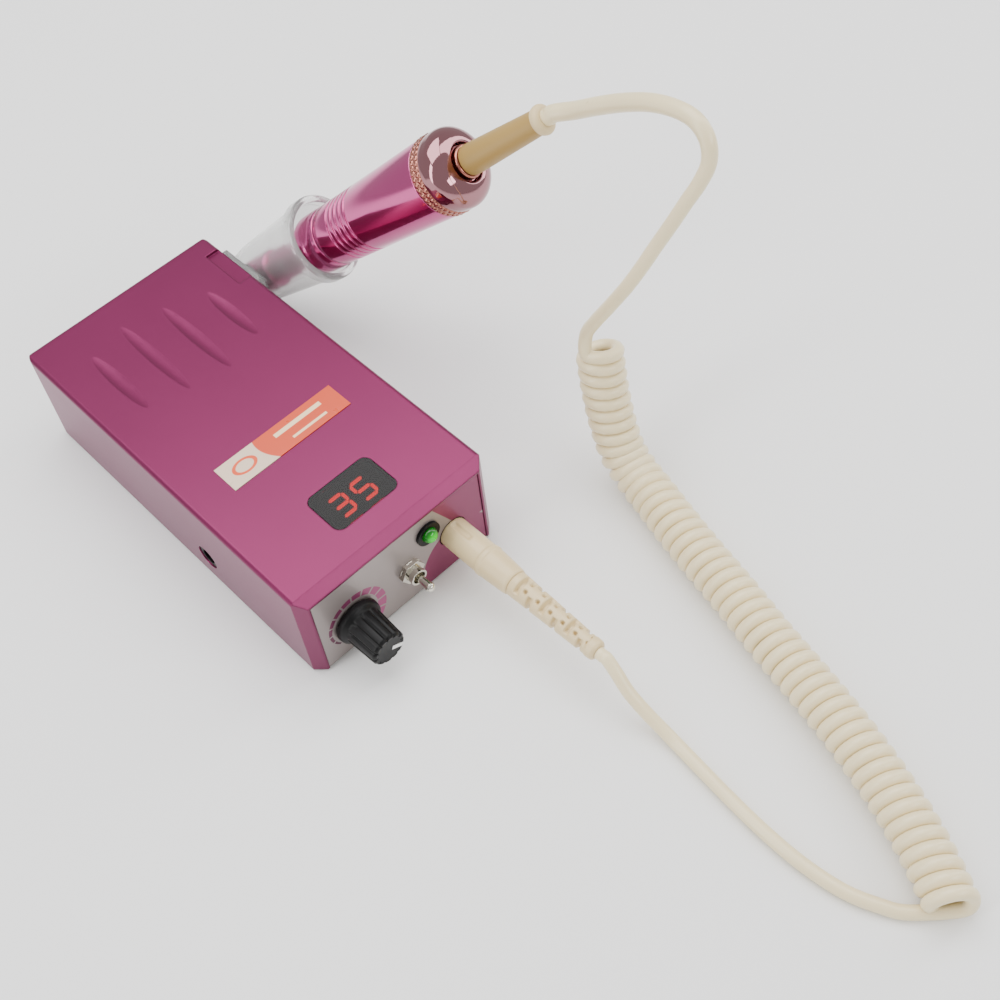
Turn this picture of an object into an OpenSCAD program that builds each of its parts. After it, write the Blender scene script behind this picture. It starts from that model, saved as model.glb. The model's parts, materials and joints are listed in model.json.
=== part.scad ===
// Portable electric nail drill: a rechargeable control box with a micromotor handpiece
// that rests in a clear cup on the box's right-hand side and is fed by a curly cord.
// Millimetres. +X is to the right, +Y to the back and +Z up.
// The origin is the middle of the box's underside.

/* [Control box] */
// Width of the box
case_w = 76; // [74:1:92]
// Length of the box, front to back
case_l = 146; // [140:1:176]
// Height of the box above its underside
case_h = 38.5; // [37:0.5:46]
// Thickness of the box's walls
wall = 2; // [1.8:0.1:2.4]
// Radius of the box's upright back corners
corner_r = 4; // [2:0.5:8]
// Radius along the edges of the box's top
edge_r = 1.6; // [0.8:0.1:3]
// Depth of the sloped border around the front panel
bevel = 3.3; // [2:0.1:5]
// Thickness of the bottom cover
floor_t = 2; // [1.6:0.1:2.4]
// How far the rubber feet stand out below the box
foot_proud = 1; // [0.5:0.1:1.5]

/* [Front panel] */
// Thickness of the front panel
panel_t = 2; // [1.5:0.1:2.5]
// How far the front panel is set back from the rim
panel_inset = 0.3; // [0:0.1:0.6]
// Place of the speed knob, left of the middle
knob_x = -20.5; // [-21:0.1:-17]
// Height of the speed knob's axis
knob_z = 13.3; // [12:0.1:14]
// Diameter of the speed knob's skirt
knob_d = 16.4; // [14:0.1:18]
// Length of the speed knob
knob_l = 15.6; // [13:0.1:18]
// Diameter of the potentiometer's shaft
shaft_d = 6; // [5:0.1:6.4]
// Place of the toggle switch
toggle_x = 2.4; // [0:0.1:3]
// Height of the toggle switch's axis
toggle_z = 15.2; // [14:0.1:17]
// Length of the toggle lever in front of its pivot
lever_l = 9.5; // [8:0.5:11]
// Place of the green lamp
lamp_x = 11.4; // [11:0.1:12]
// Height of the green lamp
lamp_z = 25.8; // [25:0.1:27]
// Diameter of the green lamp
lamp_d = 5.4; // [4:0.1:6]
// Place of the handpiece socket
socket_x = 21; // [20.5:0.1:22]
// Height of the handpiece socket
socket_z = 16.5; // [15:0.1:17]
// Diameter of the cord's plug
plug_d = 10.4; // [9:0.1:11]

/* [Top and side] */
// Width of the display window
window_w = 25; // [20:0.5:28]
// Length of the display window
window_l = 17; // [15:0.5:19]
// Distance from the box's front face to the middle of the window
window_back = 20.5; // [18:0.5:23]
// Width of the label on the top
label_w = 47; // [36:0.5:50]
// Length of the label on the top
label_l = 11.2; // [9:0.2:16]
// Depth of the finger scoops
scoop_depth = 0.5; // [0.3:0.1:1.2]
// Diameter of the charging socket's hole in the left-hand side
charge_d = 9; // [8:0.1:10]

/* [Handpiece] */
// Length of the handpiece, nose tip to rear face
hp_l = 123; // [118:1:128]
// Diameter of the handpiece at its rear band
hp_rear_d = 27; // [25:0.5:29]
// Diameter of the handpiece at its grooves
hp_front_d = 21.6; // [21.4:0.1:23]
// Diameter of the nose
nose_d = 13.6; // [13:0.1:14]
// Diameter of the bit shank that the collet takes
shank_d = 2.35; // [2.35:0.01:3.2]
// Tilt of the handpiece, from straight up towards the front
hp_tilt = 47; // [45:1:50]
// Lean of the handpiece, away from the box's side
hp_lean = 21; // [20:1:24]

/* [Cup] */
// Gap between the handpiece and the cup at its rim
cup_gap = 1.9; // [1.6:0.05:2.4]
// How far the cup's rim stands out
rim_out = 1.3; // [0.8:0.05:2.5]
// Thickness of the cup's wall
cup_wall = 1.5; // [1.2:0.1:1.6]
// Thickness of the cup's plate
clip_t = 2.4; // [2:0.1:3]

/* [Cord] */
// Diameter of the cord
cord_d = 4.4; // [3.8:0.1:4.6]
// Diameter of the lead where it leaves the handpiece
lead_d = 5.6; // [4.6:0.1:6]
// Outer diameter of the curly stretch
curl_d = 15.8; // [14:0.2:16]

/* [Hidden] */
$fn = 64;
// Clearance of a part that drops into an opening
fit = 0.15;
// Radial clearance of a part that turns in another
run = 0.05;
// Overlap that keeps a cut from ending flush with a face
cut = 1;

// The box's inner faces and the panel's planes
in_x = case_w / 2 - wall;
front_y = -case_l / 2;
in_top = case_h - wall;
panel_y = front_y + panel_inset;
panel_back = panel_y + panel_t;
panel_half = case_w / 2 - bevel - 0.8;
panel_top = case_h - bevel - 0.8;
// The frame behind the panel, and the seat that it leaves at the panel's edge
frame_t = 2;
seat_w = 2;
window_y = front_y + window_back;
window_x = 0.8;
window_t = 1.2;
window_r = 3;
label_y = front_y + 53.4;
label_t = 0.3;

// The box's four screw posts
post_x = case_w / 2 - 6.4;
post_front = front_y + 26;
post_back = case_l / 2 - 7;
post_r = 4.5;
pilot_r = 1.3;
screw_r = 1.2;
screw_l = 8;
screw_head_r = 2.7;
screw_head_h = 1.4;
foot_r = 5;
foot_sunk = 1;
foot_x = case_w / 2 - 13;
foot_y = case_l / 2 - 16;

// The recess above the cup's plate, in the right-hand edge of the top
recess_y = 54.2;
recess_l = 19.5;
recess_depth = 1.2;
recess_w = 5.8;
// The cup's plate on the box's side, and the tongue that holds it in a slot
plate_y = 54;
plate_l = 19;
plate_low = 14;
plate_high = 36.5;
tongue_l = 12;
tongue_low = 24;
tongue_h = 5;

// The display, and the control board that hangs under it
digit_w = 6.2;
digit_h = 8.8;
digit_gap = 2.4;
stroke = 1;
digit_t = 0.5;
module_h = 8;
module_w = window_w - 4;
module_l = window_l - 3;
module_top = in_top - digit_t;
board_w = 50;
board_l = 58;
board_t = 1.6;
board_z = module_top - module_h - board_t;
board_front = front_y + 12;

// The battery's three cells and their tray
cell_r = 9.1;
cell_l = 65;
cell_gap = 0.4;
cell_back = 14;
cell_y = case_l / 2 - cell_back - cell_l;
tray_t = 1.2;
cell_z = floor_t + tray_t + cell_r;

// The charging socket in the left-hand side
charge_y = front_y + 54;
charge_z = 11;
charge_bore_r = 2.85;
charge_l = 14;
charge_pin_r = 1;

// Places of the finger scoops: middle across, middle along, and length
scoops = [[-22.5, 39, 32], [-8, 39, 40], [7, 36, 39], [22, 35.5, 28]];
// Radius of a scoop across its middle
scoop_r = 6;

// The controls
nut_t = 2;
pot_bush_r = 3.6;
pot_bush_l = 6;
pot_shaft_r = shaft_d / 2;
knob_skirt_l = 3.2;
knob_body_d = knob_d - 3;
knob_tip_d = knob_d - 4;
knob_flutes = 12;
knob_hollow_r = knob_body_d / 2 - 1.2;
// A knob too narrow to go over the nut stands in front of it
knob_gap = knob_hollow_r > 5.4 ? 0.6 : nut_t + 0.4;
knob_back = panel_y - knob_gap;
pointer_turn = -25;
toggle_bush_r = 3;
toggle_bush_l = 4.6;
toggle_bore_r = 2.3;
toggle_pivot_y = panel_y - 1.6;
lever_r = 1.15;
lever_tip_r = 1.6;
bezel_r = lamp_d / 2 + 1.8;
bezel_t = 1;
socket_r = 6.6;
socket_l = 14;
plug_nose_r = 3.4;
plug_nose_l = 8;
plug_grip_l = 15;
plug_collar_l = 12;
plug_end_y = front_y - 63.5;

// The handpiece, measured along its axis from the nose tip
// The handpiece, the cup and the cord keep their distance from the box's right side
right_side = case_w / 2 - 38;
hp_tip = [46.5 + right_side, 68.5, 10.5];
seam_z = 55.5;
groove_z = seam_z + 8.1;
groove_pitch = 2.6;
groove_count = 5;
groove_depth = 0.45;
groove_w = 0.9;
cap_l = 8.5;
cap_round = 5.6;
dish_depth = 2;
band_l = 4;
cap_z = hp_l - cap_l;
band_z = cap_z - band_l;
neck_z = 22;
neck_r = nose_d / 2 - 1.2;
ring_z = 43;
can_r = hp_front_d / 2 - 1;
can_z = seam_z + 4.2;
can_wall = 0.8;
journal_r = nose_d / 2 + 0.6;
spindle_r = 3;
bearing_r = 5.4;
spindle_bore_r = 4.2;
collet_r = 2.2;
collet_l = 20;
rear_bearing_z = band_z - 5;
brush_z = rear_bearing_z - 7.3;
gland_r = 5.7;
gland_neck_r = 4.9;
relief_z = hp_l + 1;
relief_l = 31;
bead_l = 3;
relief_end = relief_z + relief_l + bead_l;
cord_gap = 0.02;

// The cup, measured along the same axis
cup_floor_z = -4.6;
cup_bottom_z = -3;
rim_z = 45.2;
rim_l = 4.8;
// The handpiece lies on the lower side of its cup, so the cup's axis is a little higher
cup_lift = 1.2;
cup_top_r = hp_front_d / 2 + cup_gap + cup_wall;
cup_profile = [
    [-3, nose_d / 2 + 0.6], [2, nose_d / 2 + 2.7], [12, nose_d / 2 + 4.6], [rim_z, cup_top_r]
];

// Points moved along with the box's right side: all by the same amount, or growing along the list
function beside(points) = [for (p = points) p + [right_side, 0, 0]];
function stretched(points) = [
    for (i = [0 : len(points) - 1]) points[i] + [right_side * (i + 1) / len(points), 0, 0]
];

// Where a point on the handpiece's axis lies in the box's frame
hp_axis = [sin(hp_lean), -cos(hp_lean) * sin(hp_tilt), cos(hp_lean) * cos(hp_tilt)];
function hp_at(along) = hp_tip + along * hp_axis;

// The cord's route: from the handpiece up and over to the curly stretch
upper_route = concat(
    [for (along = [cord_gap, 1.8, 3.6]) hp_at(relief_end + along)],
    beside([
        [106.8, -48, 116.2], [107.3, -57, 122.3], [107.5, -67, 128.7], [107.5, -77, 134],
        [107, -86.5, 137.3], [106.4, -94, 137.8], [105.6, -99, 134.5], [104.4, -100.8, 128.8],
        [102.4, -99.6, 122.3], [100, -97.3, 115.8], [97.5, -94.3, 107.5], [95, -90.8, 98.5],
        [92.2, -87.5, 89.5], [89.5, -84, 81], [87, -79, 71], [85.3, -74.5, 62.5],
        [84.5, -71.5, 55.5], [84, -72, 46]
    ])
);
// Down the hanging turns, and along the table
curl_route = beside([
    [88.5, -73, 48], [86.8, -75.7, 39], [85.2, -79, 30], [83.6, -83.3, 21], [82.2, -88.6, 13],
    [81.1, -95.8, 8.4], [79.3, -104.6, 7], [75.7, -117.5, 7], [71.9, -132.6, 7], [68, -149.8, 7],
    [63.4, -168, 7], [59.2, -187, 7], [54.4, -205.5, 7], [48.5, -223.5, 7], [41.6, -240, 7],
    [33.4, -255.5, 7]
]);
// From the plug down to the table and back to the curly stretch
plug_route = concat(
    [for (along = [cord_gap, 1.8, 3.6]) [socket_x, plug_end_y - along, socket_z]],
    stretched([
        [20.5, -144.5, 13.8], [20, -149.5, 9.8], [20.3, -156.5, 5.4], [20.5, -166.5, 1.9],
        [19.6, -177, 1.3], [18.2, -191, 1.3], [17.3, -204, 1.3], [17.3, -217.5, 1.3],
        [19, -230.5, 1.3], [22.5, -240, 1.3], [27, -247.2, 1.3], [31, -252.1, 1.5]
    ])
);

// Shapes that several sub-parts share

module plan(inset, round_r) {
    difference() {
        back_rounded_plan(inset, round_r);
        for (side = [-1, 1])
            translate([side * (case_w / 2), front_y])
                rotate(45)
                    square(bevel * sqrt(2), center = true);
    }
}

// A rectangle as long as the box, with round corners at the back
module back_rounded_plan(inset, round_r) {
    half = case_w / 2 - inset;
    translate([-half, front_y + inset])
        square([2 * half, case_l - 2 * inset - round_r]);
    translate([-half + round_r, case_l / 2 - inset - round_r - cut])
        square([2 * (half - round_r), round_r + cut]);
    for (side = [-1, 1])
        translate([side * (half - round_r), case_l / 2 - inset - round_r])
            circle(round_r);
}

// The box seen from the front, with round top edges
module front_outline() {
    translate([-case_w / 2, 0])
        square([case_w, case_h - edge_r]);
    translate([-case_w / 2 + edge_r, 0])
        square([case_w - 2 * edge_r, case_h]);
    for (side = [-1, 1])
        translate([side * (case_w / 2 - edge_r), case_h - edge_r])
            circle(edge_r);
}

// The box seen from the right, with the sloped front edge and a round back edge
module side_outline() {
    difference() {
        union() {
            translate([front_y, 0])
                square([case_l, case_h - edge_r]);
            translate([front_y, 0])
                square([case_l - edge_r, case_h]);
            translate([case_l / 2 - edge_r, case_h - edge_r])
                circle(edge_r);
        }
        translate([front_y, case_h])
            rotate(45)
                square(bevel * sqrt(2), center = true);
    }
}

// The box's outer block
module outer_block() {
    intersection() {
        linear_extrude(case_h)
            plan(0, corner_r);
        translate([0, case_l, 0])
            rotate([90, 0, 0])
                linear_extrude(2 * case_l)
                    front_outline();
        translate([-case_w, 0, 0])
            rotate([90, 0, 90])
                linear_extrude(2 * case_w)
                    side_outline();
    }
}

// A plate with round corners, standing on z = 0
module round_plate(w, l, t, r) {
    linear_extrude(t) {
        square([w - 2 * r, l], center = true);
        square([w, l - 2 * r], center = true);
        for (x = [-1, 1], y = [-1, 1])
            translate([x * (w / 2 - r), y * (l / 2 - r)])
                circle(r);
    }
}

// Turns a shape that stands on z = 0 so that it points out of the front of the box
module out_front(x, y, z) {
    translate([x, y, z])
        rotate([90, 0, 0])
            children();
}

// Turns a shape that stands on z = 0 so that it points into the box from the front
module into_front(x, y, z) {
    translate([x, y, z])
        rotate([-90, 0, 0])
            children();
}

// Puts a shape on the handpiece's axis, with the nose tip at z = 0
module on_handpiece() {
    translate(hp_tip)
        rotate([hp_tilt, 0, 0])
            rotate([0, hp_lean, 0])
                children();
}

// Puts a shape on the cup's axis
module on_cup() {
    translate(hp_tip)
        rotate([hp_tilt, 0, 0])
            translate([0, cup_lift, 0])
                rotate([0, hp_lean, 0])
                    children();
}

module ring(outer_r, inner_r, low, high) {
    translate([0, 0, low])
        difference() {
            cylinder(h = high - low, r = outer_r);
            translate([0, 0, -cut])
                cylinder(h = high - low + 2 * cut, r = inner_r);
        }
}

module hex_nut(across, bore_r, t) {
    difference() {
        cylinder(h = t, r = across / sqrt(3), $fn = 6);
        translate([0, 0, -cut])
            cylinder(h = t + 2 * cut, r = bore_r, $fn = 48);
    }
}

module at_posts() {
    for (x = [-post_x, post_x], y = [post_front, post_back])
        translate([x, y, 0])
            children();
}

// A tube swept along a route of points, with one radius or a list of them
function unit(v) = v / norm(v);
function heading(route, i) = unit(route[min(i + 1, len(route) - 1)] - route[max(i - 1, 0)]);
function square_to(v, along) = unit(v - (v * along) * along);
function sides_of(route, i, side) =
    i == len(route) ? [] :
    let (here = square_to(side, heading(route, i)))
    concat([here], sides_of(route, i + 1, here));
// A point on the smooth curve through four points, between the middle two
function between(a, b, c, d, t) =
    0.5 * (2 * b + (c - a) * t + (2 * a - 5 * b + 4 * c - d) * t * t
        + (3 * b - a - 3 * c + d) * t * t * t);
function smooth(route, steps) = concat(
    [
        for (i = [0 : len(route) - 2], k = [0 : steps - 1])
            between(
                route[max(i - 1, 0)], route[i], route[i + 1],
                route[min(i + 2, len(route) - 1)], k / steps
            )
    ],
    [route[len(route) - 1]]
);
module tube(route, r, sides) {
    along = sides_of(route, 0, [0.2, 0.3, 1]);
    last = len(route) - 1;
    points = [
        for (i = [0 : last], k = [0 : sides - 1])
            let (turn = 360 * k / sides, n = along[i], b = cross(heading(route, i), n))
            route[i] + (is_list(r) ? r[i] : r) * (cos(turn) * n + sin(turn) * b)
    ];
    walls = [
        for (i = [0 : last - 1], k = [0 : sides - 1])
            let (next = (k + 1) % sides)
            [i * sides + k, (i + 1) * sides + k, (i + 1) * sides + next, i * sides + next]
    ];
    polyhedron(
        points,
        concat(
            walls,
            [[for (k = [0 : sides - 1]) k]],
            [[for (k = [sides - 1 : -1 : 0]) last * sides + k]]
        ),
        convexity = 10
    );
}

// The control box

// A long shallow scoop whose edge is as long as l
module scoop(x, y, l) {
    arc_r = (l * l / 4 + scoop_depth * scoop_depth) / (2 * scoop_depth);
    translate([x, y, case_h + scoop_r - scoop_depth])
        rotate([90, 0, 0])
            rotate_extrude($fn = 96)
                intersection() {
                    translate([scoop_r - arc_r, 0])
                        circle(arc_r, $fn = 180);
                    translate([0, -l / 2 - cut])
                        square([scoop_r, l + 2 * cut]);
                }
}

module top_shell() color([0.66, 0.28, 0.47]) {
    difference() {
        union() {
            difference() {
                outer_block();
                // the hollow, from behind the front frame to the back wall
                translate([-in_x, panel_back + frame_t, -cut])
                    cube([2 * in_x, case_l / 2 - wall - panel_back - frame_t, in_top + cut]);
            }
            difference() {
                at_posts()
                    translate([0, 0, floor_t])
                        cylinder(h = in_top - floor_t + 0.5, r = post_r);
                at_posts()
                    cylinder(h = floor_t + screw_l + 2, r = pilot_r);
            }
            // the bosses that the board hangs from
            for (x = [-1, 1], y = [3, board_l - 3])
                translate([x * (board_w / 2 - 3), board_front + y, board_z + board_t])
                    cylinder(h = in_top + 0.5 - board_z - board_t, r = 2.4);
        }
        // the seat of the front panel, and the opening behind it
        translate([-panel_half, front_y - cut, -cut])
            cube([2 * panel_half, panel_back - front_y + cut, panel_top + cut]);
        translate([seat_w - panel_half, front_y, -cut])
            cube([2 * (panel_half - seat_w), panel_back + frame_t - front_y + cut, panel_top - seat_w + cut]);
        // the display window, on a ledge 1 mm wide
        translate([window_x, window_y, case_h - window_t])
            round_plate(window_w, window_l, window_t + cut, window_r);
        translate([window_x, window_y, in_top - cut])
            round_plate(window_w - 2, window_l - 2, wall + 2 * cut, window_r - 1);
        translate([case_w / 2 - recess_w, recess_y - recess_l / 2, case_h - recess_depth])
            cube([recess_w + cut, recess_l, recess_depth + cut]);
        translate([in_x - cut, plate_y - tongue_l / 2, tongue_low])
            cube([wall + 2 * cut, tongue_l, tongue_h]);
        translate([-case_w / 2 - cut, charge_y, charge_z])
            rotate([0, 90, 0])
                cylinder(h = wall + 2 * cut, r = charge_d / 2);
        for (s = scoops)
            scoop(s[0], s[1], s[2]);
    }
}

module bottom_cover() color([0.58, 0.24, 0.41]) {
    half = in_x - fit;
    low = panel_back + frame_t + fit;
    difference() {
        translate([-half, low, 0])
            cube([2 * half, case_l / 2 - wall - fit - low, floor_t]);
        at_posts() {
            translate([0, 0, -cut])
                cylinder(h = floor_t + 2 * cut, r = pilot_r + 0.2);
            translate([0, 0, -cut])
                cylinder(h = screw_head_h + cut, r = screw_head_r + 0.1);
        }
        for (x = [-foot_x, foot_x], y = [-foot_y + 30, foot_y])
            translate([x, y, -cut])
                cylinder(h = foot_sunk + cut, r = foot_r);
    }
}

module case_screws() color([0.7, 0.7, 0.72]) {
    at_posts()
        difference() {
            union() {
                translate([0, 0, 0.1])
                    cylinder(h = screw_head_h - 0.1, r = screw_head_r);
                cylinder(h = floor_t + screw_l, r = screw_r);
            }
            for (turn = [0, 90])
                rotate(turn)
                    cube([0.6, 3, 1.4], center = true);
        }
}

module rubber_feet() color([0.08, 0.08, 0.08]) {
    for (x = [-foot_x, foot_x], y = [-foot_y + 30, foot_y])
        translate([x, y, -foot_proud])
            cylinder(h = foot_proud + foot_sunk, r = foot_r - 0.05);
}

module front_panel() color([0.72, 0.70, 0.70]) {
    difference() {
        translate([fit - panel_half, panel_y, fit])
            cube([2 * (panel_half - fit), panel_t, panel_top - 2 * fit]);
        into_front(knob_x, panel_y - cut, knob_z)
            cylinder(h = panel_t + 2 * cut, r = pot_bush_r + 0.1);
        into_front(toggle_x, panel_y - cut, toggle_z)
            cylinder(h = panel_t + 2 * cut, r = toggle_bush_r + 0.1);
        into_front(lamp_x, panel_y - cut, lamp_z)
            cylinder(h = panel_t + 2 * cut, r = bezel_r - 0.7);
        into_front(socket_x, panel_y - cut, socket_z)
            cylinder(h = panel_t + 2 * cut, r = plug_d / 2 + 0.3);
    }
}

module display_window() color([0.02, 0.02, 0.03, 0.9]) {
    translate([window_x, window_y, case_h - window_t])
        round_plate(window_w - 2 * fit, window_l - 2 * fit, window_t - 0.05, window_r - fit);
}

// One bar of a digit, with pointed ends
module bar(l) {
    polygon([
        [-l / 2, 0], [-l / 2 + stroke / 2, stroke / 2], [l / 2 - stroke / 2, stroke / 2],
        [l / 2, 0], [l / 2 - stroke / 2, -stroke / 2], [-l / 2 + stroke / 2, -stroke / 2]
    ]);
}

// A digit from its lit bars: top, upper left, upper right, middle, lower left, lower right, bottom
module digit(lit) {
    across = digit_w - stroke;
    up = (digit_h - stroke) / 2;
    l = up - 0.5;
    places = [
        [0, up, 0], [-across / 2, up / 2, 90], [across / 2, up / 2, 90], [0, 0, 0],
        [-across / 2, -up / 2, 90], [across / 2, -up / 2, 90], [0, -up, 0]
    ];
    for (i = [0 : 6])
        if (lit[i])
            translate([places[i][0], places[i][1]])
                rotate(places[i][2])
                    bar(places[i][2] == 0 ? across - 0.5 : l);
}

module display_digits() color([1, 0.08, 0.08]) {
    for (d = [[-1, [1, 0, 1, 1, 0, 1, 1]], [1, [1, 1, 0, 1, 0, 1, 1]]])
        translate([window_x + d[0] * (digit_w + digit_gap) / 2, window_y, module_top])
            linear_extrude(digit_t)
                digit(d[1]);
}

module display_module() color([0.12, 0.12, 0.13]) {
    translate([window_x - module_w / 2, window_y - module_l / 2, module_top - module_h])
        cube([module_w, module_l, module_h]);
}

module label() color([0.95, 0.45, 0.08]) {
    translate([-label_w / 2, label_y - label_l / 2, case_h])
        cube([label_w, label_l, label_t]);
}

module control_board() color([0.10, 0.42, 0.20]) {
    translate([-board_w / 2, board_front, board_z])
        cube([board_w, board_l, board_t]);
    // a row of chips and the motor driver's heat sink under the board
    for (x = [-16, 0, 16])
        translate([x - 4, board_front + 22, board_z - 2])
            cube([8, 10, 2]);
    translate([-12, board_front + 38, board_z - 7])
        cube([24, 9, 7]);
}

module battery_cells() color([0.16, 0.35, 0.62]) {
    for (i = [-1 : 1])
        translate([i * (2 * cell_r + cell_gap), cell_y, cell_z])
            rotate([-90, 0, 0]) {
                cylinder(h = cell_l, r = cell_r);
                translate([0, 0, cell_l])
                    cylinder(h = 1, r = 2.6);
            }
}

module battery_tray() color([0.15, 0.15, 0.16]) {
    half = 3 * cell_r + cell_gap + 0.8;
    difference() {
        translate([-half, cell_y - 2, floor_t])
            cube([2 * half, cell_l + 5.5, tray_t + 7]);
        for (i = [-1 : 1])
            translate([i * (2 * cell_r + cell_gap), cell_y, cell_z])
                rotate([-90, 0, 0])
                    cylinder(h = cell_l + 1.5, r = cell_r);
        translate([-half - cut, cell_y, cell_z - 2])
            cube([2 * (half + cut), cell_l + 1.5, 20]);
    }
}

module charge_socket() color([0.08, 0.08, 0.09]) {
    translate([-in_x, charge_y, charge_z])
        rotate([0, 90, 0])
            difference() {
                union() {
                    translate([0, 0, charge_l / 2])
                        cube([11, 9, charge_l], center = true);
                    translate([0, 0, 0.4 - wall])
                        cylinder(h = wall, r = charge_d / 2 - fit);
                }
                translate([0, 0, -wall])
                    cylinder(h = wall + 9, r = charge_bore_r);
                translate([0, 0, 8])
                    cylinder(h = 4, r = charge_pin_r);
            }
}

module charge_pin() color([0.75, 0.75, 0.77]) {
    translate([-in_x, charge_y, charge_z])
        rotate([0, 90, 0])
            translate([0, 0, 0.5])
                cylinder(h = 11, r = charge_pin_r);
}

// The controls on the front panel

module potentiometer() color([0.35, 0.35, 0.37]) {
    difference() {
        union() {
            translate([knob_x - 8, panel_back, knob_z - 8])
                cube([16, 8.5, 16]);
            out_front(knob_x, panel_back + 1, knob_z)
                cylinder(h = panel_t + pot_bush_l + 1 - panel_t, r = pot_bush_r);
        }
        out_front(knob_x, panel_back + 5, knob_z)
            cylinder(h = 20, r = pot_shaft_r + run);
    }
}

module potentiometer_nut() color([0.78, 0.78, 0.8]) {
    out_front(knob_x, panel_y, knob_z)
        hex_nut(9, pot_bush_r + 0.05, nut_t);
}

module potentiometer_shaft() color([0.8, 0.8, 0.82]) {
    out_front(knob_x, panel_back + 4.5, knob_z)
        cylinder(h = panel_back + 4.5 - knob_back + knob_l - 3.2, r = pot_shaft_r);
}

module speed_knob() color([0.05, 0.05, 0.055]) {
    out_front(knob_x, knob_back, knob_z)
        difference() {
            union() {
                cylinder(h = knob_skirt_l - 1, r1 = knob_d / 2, r2 = knob_d / 2 - 0.25);
                translate([0, 0, knob_skirt_l - 1])
                    cylinder(h = 1, r1 = knob_d / 2 - 0.25, r2 = knob_body_d / 2);
                translate([0, 0, knob_skirt_l])
                    cylinder(h = knob_l - knob_skirt_l - 0.8, r1 = knob_body_d / 2, r2 = knob_tip_d / 2);
                translate([0, 0, knob_l - 0.8])
                    cylinder(h = 0.8, r1 = knob_tip_d / 2, r2 = knob_tip_d / 2 - 0.7);
            }
            for (i = [0 : knob_flutes - 1])
                rotate(360 * i / knob_flutes)
                    translate([knob_body_d / 2 + 0.05, 0, knob_skirt_l + 0.6])
                        cylinder(h = knob_l, r = 0.75, $fn = 24);
            translate([0, 0, -cut])
                cylinder(h = pot_bush_l + 1.2 + cut, r = knob_hollow_r);
            cylinder(h = knob_l - 3, r = pot_shaft_r);
            rotate(pointer_turn)
                translate([1.4, -0.75, knob_l - 0.7])
                    cube([knob_tip_d, 1.5, 2]);
        }
}

module knob_pointer() color([0.85, 0.85, 0.85]) {
    out_front(knob_x, knob_back, knob_z)
        rotate(pointer_turn)
            translate([1.4, -0.75, knob_l - 0.7])
                cube([knob_tip_d / 2 - 0.75 - 1.4, 1.5, 0.75]);
}

module toggle_switch() color([0.72, 0.70, 0.64]) {
    difference() {
        union() {
            translate([toggle_x - 4, panel_back, toggle_z - 6.5])
                cube([8, 10, 13]);
            out_front(toggle_x, panel_back + 1, toggle_z)
                cylinder(h = 1 + panel_t + toggle_bush_l, r = toggle_bush_r);
        }
        // the bore that the lever rocks in, and the chamber behind it
        out_front(toggle_x, panel_back + 2, toggle_z)
            cylinder(h = 20, r = toggle_bore_r);
        translate([toggle_x - 3, panel_back + 1.5, toggle_z - 3])
            cube([6, 5, 6]);
    }
}

module toggle_nut() color([0.75, 0.73, 0.66]) {
    out_front(toggle_x, panel_y, toggle_z) {
        hex_nut(8, toggle_bush_r + 0.02, nut_t);
        ring(4.2, toggle_bush_r + 0.02, 0, 0.5);
    }
}

module toggle_lever() color([0.8, 0.8, 0.82]) {
    translate([toggle_x, toggle_pivot_y, toggle_z])
        rotate([90, 0, 0]) {
            sphere(r = toggle_bore_r - 0.15, $fn = 48);
            cylinder(h = lever_l - 3, r1 = lever_r, r2 = lever_tip_r - 0.15);
            translate([0, 0, lever_l - 3])
                cylinder(h = 3 - lever_tip_r + 0.4, r1 = lever_tip_r - 0.15, r2 = lever_tip_r);
            translate([0, 0, lever_l - lever_tip_r])
                sphere(r = lever_tip_r, $fn = 48);
            translate([0, 0, -5.5])
                cylinder(h = 5, r = 0.8);
        }
}

module lamp_bezel() color([0.05, 0.05, 0.055]) {
    out_front(lamp_x, panel_y, lamp_z) {
        ring(bezel_r, lamp_d / 2 + 0.05, 0, bezel_t);
        ring(bezel_r - 0.8, lamp_d / 2 + 0.05, -panel_t - 2, 0.1);
    }
}

module green_lamp() color([0.1, 0.85, 0.15]) {
    out_front(lamp_x, panel_y, lamp_z) {
        translate([0, 0, -6])
            cylinder(h = 7, r = lamp_d / 2);
        translate([0, 0, 1])
            intersection() {
                sphere(r = lamp_d / 2);
                cylinder(h = lamp_d, r = lamp_d);
            }
        translate([0, 0, -6])
            cylinder(h = 1, r = lamp_d / 2 + 0.4);
    }
}

module cord_socket() color([0.07, 0.07, 0.08]) {
    difference() {
        into_front(socket_x, panel_back, socket_z)
            cylinder(h = socket_l, r = socket_r);
        into_front(socket_x, panel_back - cut, socket_z)
            cylinder(h = plug_nose_l + 1 + cut, r = plug_nose_r + 0.1);
        for (turn = [45 : 90 : 315])
            into_front(socket_x + 1.8 * cos(turn), panel_back + 8, socket_z + 1.8 * sin(turn))
                cylinder(h = socket_l, r = 0.5, $fn = 24);
    }
}

module socket_contacts() color([0.8, 0.68, 0.3]) {
    for (turn = [45 : 90 : 315])
        into_front(socket_x + 1.8 * cos(turn), panel_back + plug_nose_l + 1, socket_z + 1.8 * sin(turn))
            cylinder(h = 8, r = 0.5, $fn = 24);
}

// The cup that holds the handpiece, grown or shrunk all over

module cup_solid(grow) {
    rotate_extrude($fn = 96)
        polygon(concat(
            [[0, cup_floor_z + (grow == 0 ? 0 : cup_wall)]],
            [[cup_profile[0][1] + grow - 1, cup_floor_z + (grow == 0 ? 0 : cup_wall)]],
            [for (p = cup_profile) [p[1] + grow, p[0] + (grow == 0 ? 0 : 0.01)]],
            [[cup_profile[3][1] + grow, rim_z + rim_l + (grow == 0 ? 0 : cut)]],
            [[0, rim_z + rim_l + (grow == 0 ? 0 : cut)]]
        ));
}

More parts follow.
